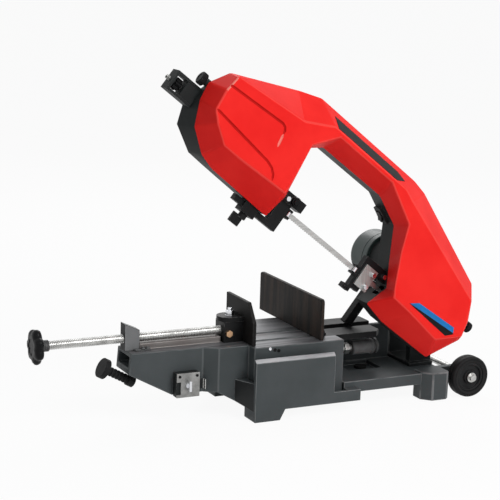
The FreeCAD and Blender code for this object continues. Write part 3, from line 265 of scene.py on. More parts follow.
grey_casting = cast_paint("grey_casting_paint", 0.0)
# The edges of the grey castings take a lighter paint: partly rubbed through to the iron, partly painted
# highlights along the edges.
worn_highlit_grey_edges = cast_paint("grey_casting_worn_highlit_edges", 0.16)
worn_highlit_bright_edges = cast_paint("grey_casting_highlit_worn_edges", 0.45)
bed_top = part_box("table_plate_front")[1].z / MM
bed = fettled("bed_casting", CASTING_EDGE, grey_casting, worn_highlit_grey_edges, CASTING_ROUNDS)
faces_in(bed, milled_iron("milled_bed", *MILLED_BED), (-BEYOND, -BEYOND, bed_top - 6),
         (BEYOND, BEYOND, bed_top + 0.1), facing=Vector((0, 0, 1)))
faces_in(bed, milled_iron("milled_rail", *MILLED_RAIL), (-BEYOND, -BEYOND, bed_top + 0.5),
         (BEYOND, BEYOND, BEYOND))

# Front box: the front plate with its foot, the chip slot's floor and the low ledge, cast in one piece.
# The plate's top lip is painted light: partly bare metal rubbed by the stock that is dragged over it,
# partly a painted highlight where the top catches the light.
LIP_GREYS_WORN_AND_LIT = ((0.26, 0.27, 0.28), (0.42, 0.43, 0.44))
LIP_SLOPE = 7.0
BOX_EDGE = 1.4
END_WALL = ((-40, 11, 26), (1, 61, 89.5))
END_WALL_FACING = Vector((-1, -0.48, 0)).normalized()


def worked_metal(name, colours, metallic, rough, rise, grain, spread=None):
    """Bare metal with the lines of its working. The grain is a noise, drawn between two colours over
    a spread, and the rough pair is the least roughness and what the grain adds to it."""
    made, at = new_finish(name)
    working = noise(at, *grain)
    colour = mixed(ramp(working, *spread) if spread else working, *colours)
    sockets = {"Base Color": colour, "Metallic": metallic, "Roughness": rough[0] + rough[1] * working}
    return end_finish(made, at, sockets, working, rise)


def select_where(piece, kind, test):
    """Selects the vertices, edges or faces that pass a test, and leaves the piece in edit mode."""
    take(piece)
    bpy.ops.object.mode_set(mode="EDIT")
    bpy.ops.mesh.select_mode(type=kind)
    bpy.ops.mesh.select_all(action="DESELECT")
    bpy.ops.object.mode_set(mode="OBJECT")
    items = {"VERT": piece.data.vertices, "EDGE": piece.data.edges, "FACE": piece.data.polygons}[kind]
    for item in items:
        item.select = bool(test(item))
    bpy.ops.object.mode_set(mode="EDIT")


lip_grain = (60, 5, 0.7, (0.15, 1, 1))
rubbed_and_highlit_lip = worked_metal("rubbed_lip_painted_highlight", LIP_GREYS_WORN_AND_LIT, 0.2, (0.34, 0.25), 0.02, lip_grain, (0.35, 0.7))
# A near-black copy of the grey paint: a painted shadow for the slot's end wall.
shadow_paint = cast_paint("end_wall_painted_shadow", 0.0, 0.16)
front_box = welded("front_box", "front_box_fettled")
plate_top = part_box("front_box")[1].z / MM


def on_lip(edge):
    ends = [front_box.data.vertices[index].co / MM for index in edge.vertices]
    return all(end.z > plate_top - 0.1 and end.y < 0.1 for end in ends)


select_where(front_box, "EDGE", on_lip)
bpy.ops.mesh.bevel(offset=LIP_SLOPE * MM, segments=1, affect="EDGES")
fettled("front_box", BOX_EDGE, grey_casting, worn_highlit_bright_edges, CASTING_ROUNDS, front_box)
# The lip's chamfer and top take the light grey: rubbed metal and a painted highlight.
faces_in(front_box, rubbed_and_highlit_lip, (-BEYOND, -BEYOND, plate_top - LIP_SLOPE + 0.2),
         (BEYOND, BEYOND, plate_top + 1))
# The slot's end wall, which lies in shade, is painted near-black as a painted shadow.
faces_in(front_box, shadow_paint, *END_WALL, facing=END_WALL_FACING)

# Rear deck and right feet: the low iron plate under the head with its two corner blocks,
# cast and painted like the bed and bolted to it.
for node, edge in (("rear_deck", 1.8), ("front_right_foot", 3.0), ("rear_right_foot", 3.0)):
    fettled(node, edge, grey_casting, worn_highlit_bright_edges, CASTING_ROUNDS)

# Table plates: two black steel plates that carry on the bed's top behind the fixed jaw.
# They are cut from bar, blackened, and rubbed along their edges by the stock.
BLACK_STEEL = (0.0085, 0.0088, 0.0092)
RUBBED_STEEL = (0.17, 0.17, 0.165)
TABLE_EDGE = 1.2


def blackened_steel(name, rubbed, dark=BLACK_STEEL, rough=0.40):
    made, at = new_finish(name)
    grain = noise(at, 700, 3, 0.6, (0.25, 1, 1))
    cloud = ramp(noise(at, 20, 4), 0.35, 0.72)
    bare = ramp(noise(at, 130, 4), 0.38, 0.66)
    colour = mixed(cloud, dark, tuple(1.5 * value for value in dark))
    colour = mixed(bare * rubbed, colour, RUBBED_STEEL)
    sockets = {"Base Color": colour, "Roughness": rough + 0.12 * cloud, "Specular IOR Level": 0.11}
    return end_finish(made, at, sockets, grain, 0.012)


black_steel = blackened_steel("black_steel_finish", 0.0)
black_edges = blackened_steel("black_steel_edges", 0.45)


def blackened(node, edge):
    """A frame piece in blackened steel, with its edges broken and rubbed bright."""
    return fettled(node, edge, black_steel, black_edges)


for node in ("table_plate_front", "table_plate_rear"):
    blackened(node, TABLE_EDGE)

# Slot screws: three low socket-head screws in the bed's front, below its top edge, one of them bright.
# They are bought parts, screwed in with their heads a little proud.
SCREW_HEAD = 3.8
SCREW_RISE = 2.2
SLOT_BACK = 32.0
SLOT_SCREWS = ((48.7, 161.2), (61.5, 158.0), (71.0, 155.5))
CHROME = ((0.62, 0.63, 0.66), (0.80, 0.81, 0.83))


def outward(piece, weld=0.0):
    """Welds what lies within a distance, if one is given, and turns every face outwards."""
    open_all(piece)
    if weld:
        bpy.ops.mesh.remove_doubles(threshold=weld * MM)
    bpy.ops.mesh.normals_make_consistent(inside=False)
    bpy.ops.object.mode_set(mode="OBJECT")


def pressed(name, radius, rings, lobes=24, reach=(1.0,)):
    """A piece drawn up from a lobed outline about Z. The reach runs from a lobe's crest to its gap,
    and the rings are pairs of height in millimetres and share of the outline, from end to end."""
    folds = max(1, 2 * (len(reach) - 1))
    count = lobes * folds
    bpy.ops.object.select_all(action="DESELECT")
    bpy.ops.mesh.primitive_circle_add(vertices=count, radius=radius * MM, fill_type="NGON")
    piece = bpy.context.object
    piece.name = name
    places = [math.atan2(v.co.y, v.co.x) * count / (2 * math.pi) for v in piece.data.vertices]
    for step in range(1, len(reach)):
        near = [min(round(place) % folds, -round(place) % folds) == step for place in places]
        select_where(piece, "VERT", lambda vertex: near[vertex.index])
        bpy.ops.transform.resize(value=(reach[step], reach[step], 1))
        bpy.ops.object.mode_set(mode="OBJECT")
    bpy.ops.object.mode_set(mode="EDIT")
    bpy.ops.mesh.select_mode(type="FACE")
    bpy.ops.mesh.select_all(action="SELECT")
    height, share = rings[0]
    bpy.ops.transform.translate(value=(0, 0, height * MM))
    bpy.ops.transform.resize(value=(share, share, 1))
    for next_height, next_share in rings[1:]:
        lift = (next_height - height) * MM
        bpy.ops.mesh.extrude_region_move(TRANSFORM_OT_translate={"value": (0, 0, lift)})
        bpy.ops.transform.resize(value=(next_share / share, next_share / share, 1))
        height, share = next_height, next_share
    outward(piece)
    return piece


def stood(piece, foot, along, turn=Matrix.Identity(4), angle=34.0):
    """Stands a piece drawn about Z on a point in millimetres, along an axis, and smooths it."""
    up = Vector(along)
    side = Vector((abs(up.z), abs(up.x), abs(up.y)))
    facing = Matrix((side, up.cross(side), up)).transposed().to_4x4()
    piece.matrix_world = turn @ Matrix.Translation(Vector(foot) * MM) @ facing
    take(piece)
    bpy.ops.object.transform_apply(location=True, rotation=True, scale=True)
    return smoothed(piece, angle)


def socket_screw(name, radius, rise):
    """A socket-head screw's head: chamfered rim, and a six-sided socket sunk in the top."""
    rings = [(0, 1.0), (rise - 0.5, 1.0), (rise, 0.88), (rise, 0.52), (0.45 * rise, 0.50)]
    return pressed(name, radius, rings, 12)


def copies(piece, names):
    """A set of like pieces, the first and copies of it, each with a mesh of its own."""
    made = [piece]
    piece.name = names[0]
    for name in names[1:]:
        made.append(bpy.data.objects.new(name, piece.data.copy()))
        bpy.context.scene.collection.objects.link(made[-1])
    return made


bright_bolt = worked_metal("bright_bolt_finish", CHROME, 1.0, (0.14, 0.16), 0.01, (150, 4))
screw_head = socket_screw("slot_screw", SCREW_HEAD, SCREW_RISE)
screw_names = ["slot_screw_%d" % index for index in range(len(SLOT_SCREWS))]
for screw, (screw_x, screw_z) in zip(copies(screw_head, screw_names), SLOT_SCREWS):
    stood(screw, (screw_x, SLOT_BACK, screw_z), (0, -1, 0))
    if screw == screw_head:
        dressed(screw, bright_bolt, "bed_casting", False)
    else:
        dressed(screw, black_steel, "bed_casting", False)

# Stop pad: the disc in the deck's pocket that the head's leg lands on.
# It is cut from thick sheet rubber and glued in.
RUBBER = (0.013, 0.013, 0.0135)
RUBBER_DUST = (0.07, 0.069, 0.066)
PAD_EDGE = 1.0


def rubber(name, dust):
    made, at = new_finish(name)
    grain = noise(at, 700, 3)
    dusty = ramp(noise(at, 30, 5, 0.65), 0.45, 0.75)
    colour = mixed(dusty * dust, RUBBER, RUBBER_DUST)
    sockets = {"Base Color": colour, "Roughness": 0.55 + 0.2 * dusty, "Specular IOR Level": 0.12}
    return end_finish(made, at, sockets, grain, 0.03)


fettled("stop_pad", PAD_EDGE, rubber("pad_rubber_finish", 0.25))

# Balance unit: the spring tube under the table plate, with its bright rod and nut.
# The tube is drawn steel in dark grey lacquer with turned end rings, the rod is zinc-plated.
ZINC = (0.58, 0.58, 0.565)
ZINC_DULL = (0.36, 0.36, 0.35)
TUBE_LACQUER = (0.12, 0.12, 0.12)
ROD_EDGE = 0.6
TUBE_SECTION = (
    (0, 0), (15.5, 0), (17, 1.5), (17, 49), (17.6, 50), (18.5, 50.8), (18.5, 55), (17.6, 56),
    (15, 56.4), (15, 61.6), (17.6, 62), (18.5, 63), (18.5, 67), (17.5, 68), (10, 68), (9, 66.5),
    (0, 66.5),
)


def zinc_plate(name, rough=0.28, light=1.0):
    made, at = new_finish(name)
    cloud = ramp(noise(at, 40, 5, 0.65), 0.3, 0.75)
    scratch = noise(at, 900, 2, 0.5, (0.08, 1, 1))
    zincs = (tuple(light * value for value in zinc) for zinc in (ZINC, ZINC_DULL))
    colour = mixed(cloud, *zincs)
    sockets = {"Base Color": colour, "Metallic": 0.92, "Roughness": rough + 0.22 * cloud}
    return end_finish(made, at, sockets, scratch, 0.012)


def moulded_black(name, dark, rough=0.34):
    made, at = new_finish(name)
    grain = at.node("TexVoronoi", {}, {"Vector": at, "Scale": 1400.0}, "Distance")
    cloud = noise(at, 35, 4)
    colour = mixed(ramp(cloud, 0.35, 0.75), dark, tuple(1.6 * value for value in dark))
    sockets = {"Base Color": colour, "Roughness": rough + 0.16 * cloud, "Specular IOR Level": 0.09}
    return end_finish(made, at, sockets, grain, 0.015)


def chain(name, points):
    """A line of edges through points, drawn by extruding one vertex from place to place."""
    bpy.ops.object.select_all(action="DESELECT")
    bpy.ops.mesh.primitive_plane_add(size=MM, location=(0, 0, 0))
    piece = bpy.context.object
    piece.name = name
    places = [Vector(point) * MM for point in points]
    bpy.ops.object.mode_set(mode="EDIT")
    bpy.ops.mesh.select_mode(type="VERT")
    bpy.ops.mesh.select_all(action="SELECT")
    bpy.ops.mesh.merge(type="CENTER")
    bpy.ops.transform.translate(value=places[0])
    for before, after in zip(places, places[1:]):
        bpy.ops.mesh.extrude_region_move(TRANSFORM_OT_translate={"value": after - before})
    bpy.ops.object.mode_set(mode="OBJECT")
    return piece


def spun(name, section, sides=64):
    """A turned piece about Z from its half section, pairs of radius and height. It starts and ends on
    the axis, or comes back to its first point for a ring."""
    piece = chain(name, [(radius, 0, height) for radius, height in section])
    open_all(piece)
    bpy.ops.mesh.spin(steps=sides, angle=2 * math.pi, center=(0, 0, 0), axis=(0, 0, 1))
    outward(piece, WELD)
    return piece


def left_end(low, high):
    """The middle of the left end of a box."""
    return Vector((low.x, (low.y + high.y) / 2, (low.z + high.z) / 2))


zinc_steel = zinc_plate("zinc_steel_finish")
fettled("balance_rod", ROD_EDGE, zinc_steel)
tube_low, tube_high = (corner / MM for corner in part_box("balance_tube"))
balance_tube = spun("balance_spring_tube", TUBE_SECTION)
stood(balance_tube, left_end(tube_low, tube_high), (1, 0, 0))
tube_lacquer = moulded_black("tube_lacquer", TUBE_LACQUER, 0.26)
dressed(balance_tube, tube_lacquer, "balance_tube")

# Pivot bracket and bushes: two iron cheeks on a base plate, each with a pressed-in bronze bush.
# The bracket is cast, painted black and bolted to the deck.
BLACK_CASTING = (0.0135, 0.0155, 0.0155)
RUBBED_BLACK = (0.12, 0.12, 0.12)
BRONZE = ((0.45, 0.26, 0.10), (0.60, 0.38, 0.17))
BRACKET_EDGE = 2.0
BUSH_EDGE = 0.6


def black_cast_paint(name, rubbed):
    made, at = new_finish(name)
    peel = noise(at, 800, 3)
    cloud = ramp(noise(at, 12, 5), 0.3, 0.72)
    bare = ramp(noise(at, 120, 4), 0.40, 0.66)
    colour = mixed(cloud, BLACK_CASTING, tuple(1.5 * value for value in BLACK_CASTING))
    colour = mixed(bare * rubbed, colour, RUBBED_BLACK)
    sockets = {"Base Color": colour, "Roughness": 0.46 + 0.12 * cloud, "Specular IOR Level": 0.13}
    return end_finish(made, at, sockets, peel, 0.02)


black_casting = black_cast_paint("black_casting_paint", 0.0)
black_casting_edges = black_cast_paint("black_casting_edges", 0.35)


def cast_black(node, edge, rounds=2):
    """A black painted casting, with its edges broken and rubbed."""
    return fettled(node, edge, black_casting, black_casting_edges, rounds)


bronze_grain = (500, 3, 0.6, (1, 0.1, 1))
bronze = worked_metal("bronze_finish", BRONZE, 0.95, (0.25, 0.2), 0.01, bronze_grain)
cast_black("pivot_bracket", BRACKET_EDGE, CASTING_ROUNDS)
for node in ("pivot_bush_front", "pivot_bush_rear"):
    fettled(node, BUSH_EDGE, bronze)

# Fixed jaw: a long flame-cut steel plate across the bed, with mill scale and streaks of rust,
# held by a gusseted bracket and a clamp bar with two hex bolts.
SCALE_BROWN = (0.048, 0.034, 0.027)
SCALE_BLACK = (0.0085, 0.0077, 0.0073)
RUST = (0.055, 0.031, 0.019)
RUBBED_SCALE = (0.13, 0.12, 0.11)
JAW_EDGE = 1.4
JAW_BRACKET_EDGE = 0.9
BOLT_SEAT = 6.5
BOLT_SPAN = (85.0, 200.0)


def mill_scale(name, brown, rust_share, rubbed):
    made, at = new_finish(name)
    drips = noise(at, 40, 5, 0.6, (1, 1, 0.10))
    cloud = noise(at, 14, 4, 0.6)
    bare = ramp(noise(at, 120, 4), 0.36, 0.62)
    colour = mixed(ramp(drips, 0.35, 0.68), SCALE_BLACK, brown)
    colour = mixed(ramp(drips + cloud, 1.0, 1.35) * rust_share, colour, RUST)
    colour = mixed(bare * rubbed, colour, RUBBED_SCALE)
    sockets = {"Base Color": colour, "Roughness": 0.46 + 0.2 * cloud, "Specular IOR Level": 0.12}
    return end_finish(made, at, sockets, drips, 0.02)


fixed_scale = mill_scale("fixed_jaw_scale", SCALE_BROWN, 0.5, 0.0)
fixed_edges = mill_scale("fixed_jaw_edges", SCALE_BLACK, 0.2, 0.10)
fettled("fixed_jaw", JAW_EDGE, fixed_scale, fixed_edges)
jaw_bracket = blackened("fixed_jaw_bracket", JAW_BRACKET_EDGE)
bolts_low = (0, BOLT_SPAN[0], bed_top + BOLT_SEAT)
faces_in(jaw_bracket, bright_bolt, bolts_low, (BEYOND, BOLT_SPAN[1], BEYOND))

# Moving jaw: a black steel plate with its near top corner cut away, screwed to the jaw block.
# The block is cast and blackened, capped by a rounded plate under a bright hex bolt.
MOVING_BROWN = (0.0095, 0.0093, 0.0092)
GLOSS_BLACK = (0.009, 0.0092, 0.0096)
BRASS = ((0.46, 0.27, 0.15), (0.64, 0.42, 0.25))
JAW_BLOCK_EDGE = 0.9
BOLT_RISE = 17.0
PIN_REACH = 4.5
PIN_DROP = 35.0
moving_scale = mill_scale("moving_jaw_scale", MOVING_BROWN, 0.10, 0.0)
moving_edges = mill_scale("moving_jaw_edges", MOVING_BROWN, 0.1, 0.12)
fettled("moving_jaw", JAW_EDGE, moving_scale, moving_edges)
gloss_black = blackened_steel("gloss_black_finish", 0.0, GLOSS_BLACK, 0.26)
worn_brass = worked_metal("brass_pin_finish", BRASS, 0.9, (0.25, 0.25), 0.02, (220, 4))
jaw_block = fettled("jaw_block", JAW_BLOCK_EDGE, gloss_black, black_edges)
block_low, block_high = (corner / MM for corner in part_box("jaw_block"))
bolt_foot = block_high.z - BOLT_RISE + 0.1
pin_top = block_high.z - PIN_DROP
faces_in(jaw_block, bright_bolt, (-BEYOND, 0, bolt_foot), (BEYOND, BEYOND, BEYOND))
faces_in(jaw_block, worn_brass, (-BEYOND, 0, 0), (BEYOND, block_low.y + PIN_REACH, pin_top))

# Vise screw: a long rolled screw of 4 mm pitch with a sleeve and collar at the knob.
# The screw is zinc-plated steel, and the sleeve is turned, blackened and set against the knob.
SCREW_RADIUS = 10.0
THREAD_DEPTH = 1.3
THREAD_PITCH = 4.0
SLEEVE_GREY = (0.045, 0.045, 0.046)
SLEEVE_SECTION = (
    (9, 0), (12.8, 0), (12.8, 4), (12.2, 4.6), (12.2, 6.4), (12.8, 7), (12.8, 16), (11.8, 17), (9, 17),
    (9, 0),
)
screw_low, screw_high = (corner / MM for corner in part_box("vise_screw"))
knob_low, knob_high = (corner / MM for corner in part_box("vise_knob"))
screw_at = left_end(screw_low, screw_high)
screw_length = screw_high.x - screw_low.x


def threaded(name, radius, depth, pitch, length, sides=24):
    """A rolled thread about Z: one ridge's section, screwed along and cut off square at both ends."""
    root = radius - depth
    ridge = [(0, root), (0.2, root), (0.45, radius), (0.7, radius), (0.95, root), (1, root)]
    piece = chain(name, [(reach, 0, share * pitch) for share, reach in ridge])
    rolled = piece.modifiers.new("rolled", "SCREW")
    rolled.axis = "Z"
    rolled.angle = 2 * math.pi
    rolled.screw_offset = pitch * MM
    rolled.iterations = math.ceil(length / pitch) + 2
    rolled.steps = sides
    rolled.render_steps = sides
    apply_all(piece)
    open_all(piece)
    bpy.ops.mesh.remove_doubles(threshold=WELD * MM)
    for height, outside in ((pitch, -1), (pitch + length, 1)):
        bpy.ops.mesh.select_all(action="SELECT")
        bpy.ops.mesh.bisect(plane_co=(0, 0, height * MM), plane_no=(0, 0, outside), use_fill=True,
                            clear_outer=True)
    bpy.ops.mesh.select_all(action="SELECT")
    bpy.ops.transform.translate(value=(0, 0, -pitch * MM))
    outward(piece)
    return piece


vise_thread = threaded("vise_thread", SCREW_RADIUS, THREAD_DEPTH, THREAD_PITCH, screw_length)
stood(vise_thread, screw_at, (1, 0, 0), angle=20.0)
dressed(vise_thread, zinc_plate("vise_thread_zinc", 0.22), "vise_screw")
sleeve = spun("vise_sleeve", SLEEVE_SECTION)
stood(sleeve, (knob_high.x, screw_at.y, screw_at.z), (1, 0, 0))
dark_zinc = blackened_steel("sleeve_finish", 0.5, SLEEVE_GREY, 0.30)
dressed(sleeve, dark_zinc, "vise_screw", False)

# Vise knob: a black hand knob with seven lobes and a sunk centre.
# It is moulded in plastic over a steel boss, which sits on the screw's end.
KNOB_BLACK = (0.0070, 0.0073, 0.0078)
KNOB_LOBES = 7
KNOB_REACH = (1.0, 0.985, 0.94, 0.875, 0.835)
KNOB_RINGS = (
    (1.5, 0.40), (1.5, 0.46), (0, 0.50), (0, 0.70), (2.0, 0.86), (5.5, 0.965), (9.5, 1.0), (14.0, 0.985),
    (18.0, 0.92), (20.5, 0.78), (21.5, 0.55), (22.0, 0.42), (22.0, 0.2),
)
black_plastic = moulded_black("black_plastic_finish", KNOB_BLACK, 0.24)
vise_knob = pressed("vise_star_knob", knob_high.z - screw_at.z, KNOB_RINGS, KNOB_LOBES, KNOB_REACH)
stood(vise_knob, (knob_low.x, screw_at.y, screw_at.z), (1, 0, 0), angle=50.0)
dressed(vise_knob, black_plastic, "vise_knob")

# Nut plate: the upright block on the arm's end that the screw runs through, cut from bar,
# painted a lighter grey than the arm, with a small foot and two screws.
PLATE_GREY = (0.135, 0.138, 0.140)
NUT_PLATE_EDGE = 0.9


def plate_paint():
    made, at = new_finish("nut_plate_paint")
    peel = noise(at, 700, 2)
    cloud = ramp(noise(at, 30, 5), 0.3, 0.7)
    colour = mixed(cloud, PLATE_GREY, tuple(1.25 * value for value in PLATE_GREY))
    return end_finish(made, at, {"Base Color": colour, "Roughness": 0.42 + 0.12 * cloud}, peel, 0.02)


nut_plate = fettled("screw_bracket", NUT_PLATE_EDGE, plate_paint(), black_edges)
nut_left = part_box("screw_bracket")[0].x / MM
# The plate's left end face is painted black as painted shade.
faces_in(nut_plate, black_steel, (nut_left - 1, -BEYOND, 0), (nut_left + 0.5, BEYOND, BEYOND))

# Stop box: a black housing on the arm's front with a notched plate, a wing bolt and two cross screws.
# The housing is cast and painted, the plate is zinc-plated sheet, and the cross screws hold it on.
STOP_BOX_EDGE = 1.4
STOP_TAB_END = 4.0
STOP_PLATE_EDGE = 0.7
STOP_PLATE_THICK = 4.0
STOP_NOTCH_X = (-1.0, 10.0)
STOP_NOTCH_Z = (7.0, 36.0)
CROSS_SCREW_DROP = 12.0


def block(name, low, high):
    """A square block between two corners."""
    bpy.ops.object.select_all(action="DESELECT")
    bpy.ops.mesh.primitive_cube_add(size=MM)
    piece = bpy.context.object
    piece.name = name
    bpy.ops.object.mode_set(mode="EDIT")
    bpy.ops.transform.resize(value=high - low)
    bpy.ops.transform.translate(value=(low + high) / 2 * MM)
    bpy.ops.object.mode_set(mode="OBJECT")
    return piece


def cut_away(piece, cutter):
    """Cuts a closed piece out of another and throws the cutter away. A finish on the cutter stays in
    the cut."""
    cut = piece.modifiers.new("cut", "BOOLEAN")
    cut.object = cutter
    cut.operation = "DIFFERENCE"
    cut.solver = "EXACT"
    cut.material_mode = "TRANSFER" if cutter.data.materials else "INDEX"
    apply_all(piece)
    bpy.data.objects.remove(cutter)


dull_zinc = zinc_plate("stop_plate_zinc", 0.42, 0.6)
stop_box = cast_black("stop_box", STOP_BOX_EDGE)
tab_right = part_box("stop_box")[1].x / MM
faces_in(stop_box, zinc_steel, (tab_right - STOP_TAB_END, 0, 0), (BEYOND, BEYOND, BEYOND))
stop_plate = welded("stop_plate", "stop_plate_fettled")
stop_low, stop_high = (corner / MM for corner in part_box("stop_plate"))
stop_face = stop_high.y - STOP_PLATE_THICK
notch_low = Vector((stop_low.x + STOP_NOTCH_X[0], stop_face - 1, stop_low.z + STOP_NOTCH_Z[0]))
notch_high = Vector((stop_low.x + STOP_NOTCH_X[1], stop_high.y + 1, stop_low.z + STOP_NOTCH_Z[1]))
cut_away(stop_plate, block("stop_notch", notch_low, notch_high))
fettled("stop_plate", STOP_PLATE_EDGE, dull_zinc, piece=stop_plate)
bolts_high = (BEYOND, stop_face - 0.2, BEYOND)
faces_in(stop_plate, bright_bolt, (-BEYOND, 0, 0), bolts_high)
faces_in(stop_plate, black_steel, (-BEYOND, 0, stop_high.z - CROSS_SCREW_DROP), bolts_high)

# Lift handle: a ribbed grip with a round end flange under the arm's end.
# It is moulded rubber on a short stalk, held to the arm by a saddle.
GRIP_EDGE = 0.7
fettled("lift_handle", GRIP_EDGE, rubber("grip_rubber", 0.08))

# Transport wheels: solid rubber tyres on moulded hubs, with a groove round the tread and a dished web.
# They run on a zinc-plated axle through the deck's end, with a nut at each end.
HUB_BLACK = (0.016, 0.0165, 0.017)
AXLE_EDGE = 0.6
WHEEL_SIDES = 96
TYRE_SECTION = (
    (36, 1.5), (39.6, 0.4), (41.0, 0), (42.3, 0), (42.7, 0.9), (43.6, 0.9), (44.0, 0), (46.0, 0),
    (48.4, 1.3), (49.6, 4.0), (49.97, 8), (49.97, 13.6), (49.2, 14.2), (49.2, 15.8), (49.97, 16.4),
    (49.97, 22), (49.6, 26), (48.4, 28.7), (46.0, 30), (40, 30), (36, 29), (36, 1.5),
)
HUB_SECTION = (
    (8.2, 3), (14.6, 3), (15.6, 3.6), (16.2, 7.6), (17.6, 9), (27.6, 9), (29.2, 7.8), (30, 3.8), (31, 3),
    (34.6, 3), (36, 4), (36, 30), (8.2, 30), (8.2, 3),
)
tyre_rubber = rubber("tyre_rubber_finish", 0.18)
hub_plastic = moulded_black("hub_plastic_finish", HUB_BLACK, 0.30)
tyre = spun("tyre", TYRE_SECTION, WHEEL_SIDES)
hub = spun("hub", HUB_SECTION, WHEEL_SIDES)
tyres = copies(tyre, ("tyre_front", "tyre_rear"))
hubs = copies(hub, ("hub_front", "hub_rear"))
for side, along, tyre, hub in zip(("front", "rear"), (1, -1), tyres, hubs):
    low, high = (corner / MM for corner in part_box("wheel_tyre_" + side))
    outer = low.y if along > 0 else high.y
    axle_at = ((low.x + high.x) / 2, outer, (low.z + high.z) / 2)
    stood(tyre, axle_at, (0, along, 0), angle=50.0)
    dressed(tyre, tyre_rubber, "wheel_tyre_" + side)
    stood(hub, axle_at, (0, along, 0), angle=40.0)
    dressed(hub, hub_plastic, "wheel_hub_" + side)
fettled("axle", AXLE_EDGE, zinc_steel)

# Head frame: the black cast tray behind the cover that carries both band wheels and the switch's bezel.
# It is cast in aluminium and sprayed satin black. The head stands swung up by 38 degrees.
HEAD_RAISE = math.radians(38.0)
HEAD_EDGE = 1.2
bush_low, bush_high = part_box("pivot_bush_front")
pivot = (bush_low + bush_high) / 2
head_up = Matrix.Translation(pivot) @ Matrix.Rotation(HEAD_RAISE, 4, "Y") @ Matrix.Translation(-pivot)
head_down = head_up.inverted()


def lowered(node):
    """The corners of a head piece's box, with the head swung down level."""
    places = [head_down @ vertex.co / MM for vertex in frame["nodes"][node].data.vertices]
    low = Vector([min(place[axis] for place in places) for axis in range(3)])
    high = Vector([max(place[axis] for place in places) for axis in range(3)])
    return low, high


cast_black("head_frame", HEAD_EDGE)

# Front cover: the big red shell over the band wheels, moulded in one piece and lacquered.
# It is open at the seam, where it meets the black frame. Its edges are rolled, and its lobes have
# pressed grooves.
# The cover's paint carries painted light: a darker red in the grooves as shade, and a lighter red on the
# front's rim, on two marks at its left edge and on one groove's end as highlights.
RED = (0.94, 0.028, 0.023)
RED_DEEP = (0.85, 0.017, 0.015)
GROOVE_SHADE_RED = (0.60, 0.010, 0.009)
RIM_HIGHLIGHT_RED = (0.95, 0.060, 0.050)
PALE_HIGHLIGHT_RED = (0.95, 0.24, 0.20)
RIM_DEPTH = 2.6
RIM_HIGHLIGHT_MARKS = (((-362, 262), (-338, 290)), ((-372, 205), (-350, 232)))
COVER_EDGE = 4.0
COVER_WALL = 3.0
GROOVE_RADIUS = 3.4
GROOVE_DEPTH = 2.0
GROOVE_FADE = 7.0
GROOVE_TIP = 0.95
IDLER_GROOVES = (
    ((-352, 275), (-197, 286), (-188, 283), (-183, 276), (-181, 268)),
    ((-343, 218), (-176, 202), (-158, 197), (-146, 188), (-138, 176)),
)
DRIVE_GROOVES = (((300, 274), (306, 273), (463, 260)),)
HIGHLIT_GROOVE_ENDS = (((-181.5, 270), (-180, 262), (-175, 239)),)
cover_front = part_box("front_cover")[0].y / MM
cover_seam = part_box("front_cover")[1].y / MM
cover = welded("front_cover", "front_cover_shell")


def on_front(vertex):
    return vertex.co.y / MM < cover_front + 0.01


def on_seam(vertex):
    return vertex.co.y / MM > cover_seam - 0.01


def ends_of(edge):
    return [cover.data.vertices[index] for index in edge.vertices]


# The skin is cut down to its front and seam outlines, which are bridged again into one wall.
select_where(cover, "FACE", lambda face: face.center.y / MM > cover_seam - 0.01)
bpy.ops.mesh.delete(type="FACE")
select_where(cover, "VERT", on_front)
bpy.ops.mesh.select_linked()
bpy.ops.mesh.select_all(action="INVERT")
bpy.ops.mesh.delete(type="VERT")
select_where(cover, "VERT", lambda vertex: not on_front(vertex) and not on_seam(vertex))
bpy.ops.mesh.delete(type="VERT")
select_where(cover, "FACE", lambda face: True)
bpy.ops.mesh.delete(type="ONLY_FACE")
select_where(cover, "EDGE", lambda edge: on_front(ends_of(edge)[0]) != on_front(ends_of(edge)[1]))
bpy.ops.mesh.delete(type="EDGE")
select_where(cover, "EDGE", lambda edge: True)
bpy.ops.mesh.bridge_edge_loops()
select_where(cover, "VERT", on_front)
bpy.ops.mesh.edge_face_add()
select_where(cover, "EDGE", lambda edge: not all(on_seam(end) for end in ends_of(edge)))
bpy.ops.mesh.bevel(offset=COVER_EDGE * MM, segments=4, affect="EDGES", clamp_overlap=False)
outward(cover)
wall = cover.modifiers.new("wall", "SOLIDIFY")
wall.thickness = COVER_WALL * MM
wall.offset = -1
wall.use_even_offset = True
apply_all(cover)
beyond_low = Vector((-BEYOND, cover_seam, -BEYOND))
beyond_high = Vector((BEYOND, BEYOND, 2 * BEYOND))
cut_away(cover, block("beyond_seam", beyond_low, beyond_high))


def groove(piece, route, radius, depth, finish):
    """Cuts a round-bottomed groove in the cover's face along a route, with the head level. The cutter's
    ends are narrowed until they clear the face, so that the groove fades out."""
    stops = [Vector(stop) for stop in route]
    fade_in = stops[0] + (stops[1] - stops[0]).normalized() * GROOVE_FADE
    fade_out = stops[-1] + (stops[-2] - stops[-1]).normalized() * GROOVE_FADE
    stops = [stops[0], fade_in, *stops[1:-1], fade_out, stops[-1]]
    cutter = chain("groove_cutter", [(stop.x, cover_front - radius + depth, stop.y) for stop in stops])
    take(cutter)
    bpy.ops.object.convert(target="CURVE")
    cutter.data.bevel_depth = radius * MM
    cutter.data.bevel_resolution = 5
    cutter.data.use_fill_caps = True
    for point in (cutter.data.splines[0].points[0], cutter.data.splines[0].points[-1]):
        point.radius = GROOVE_TIP * (radius - depth) / radius
    bpy.ops.object.convert(target="MESH")
    cutter.data.materials.clear()
    cutter.data.materials.append(finish)
    cutter.matrix_world = head_up
    bpy.ops.object.transform_apply(location=True, rotation=True, scale=True)
    cut_away(piece, cutter)


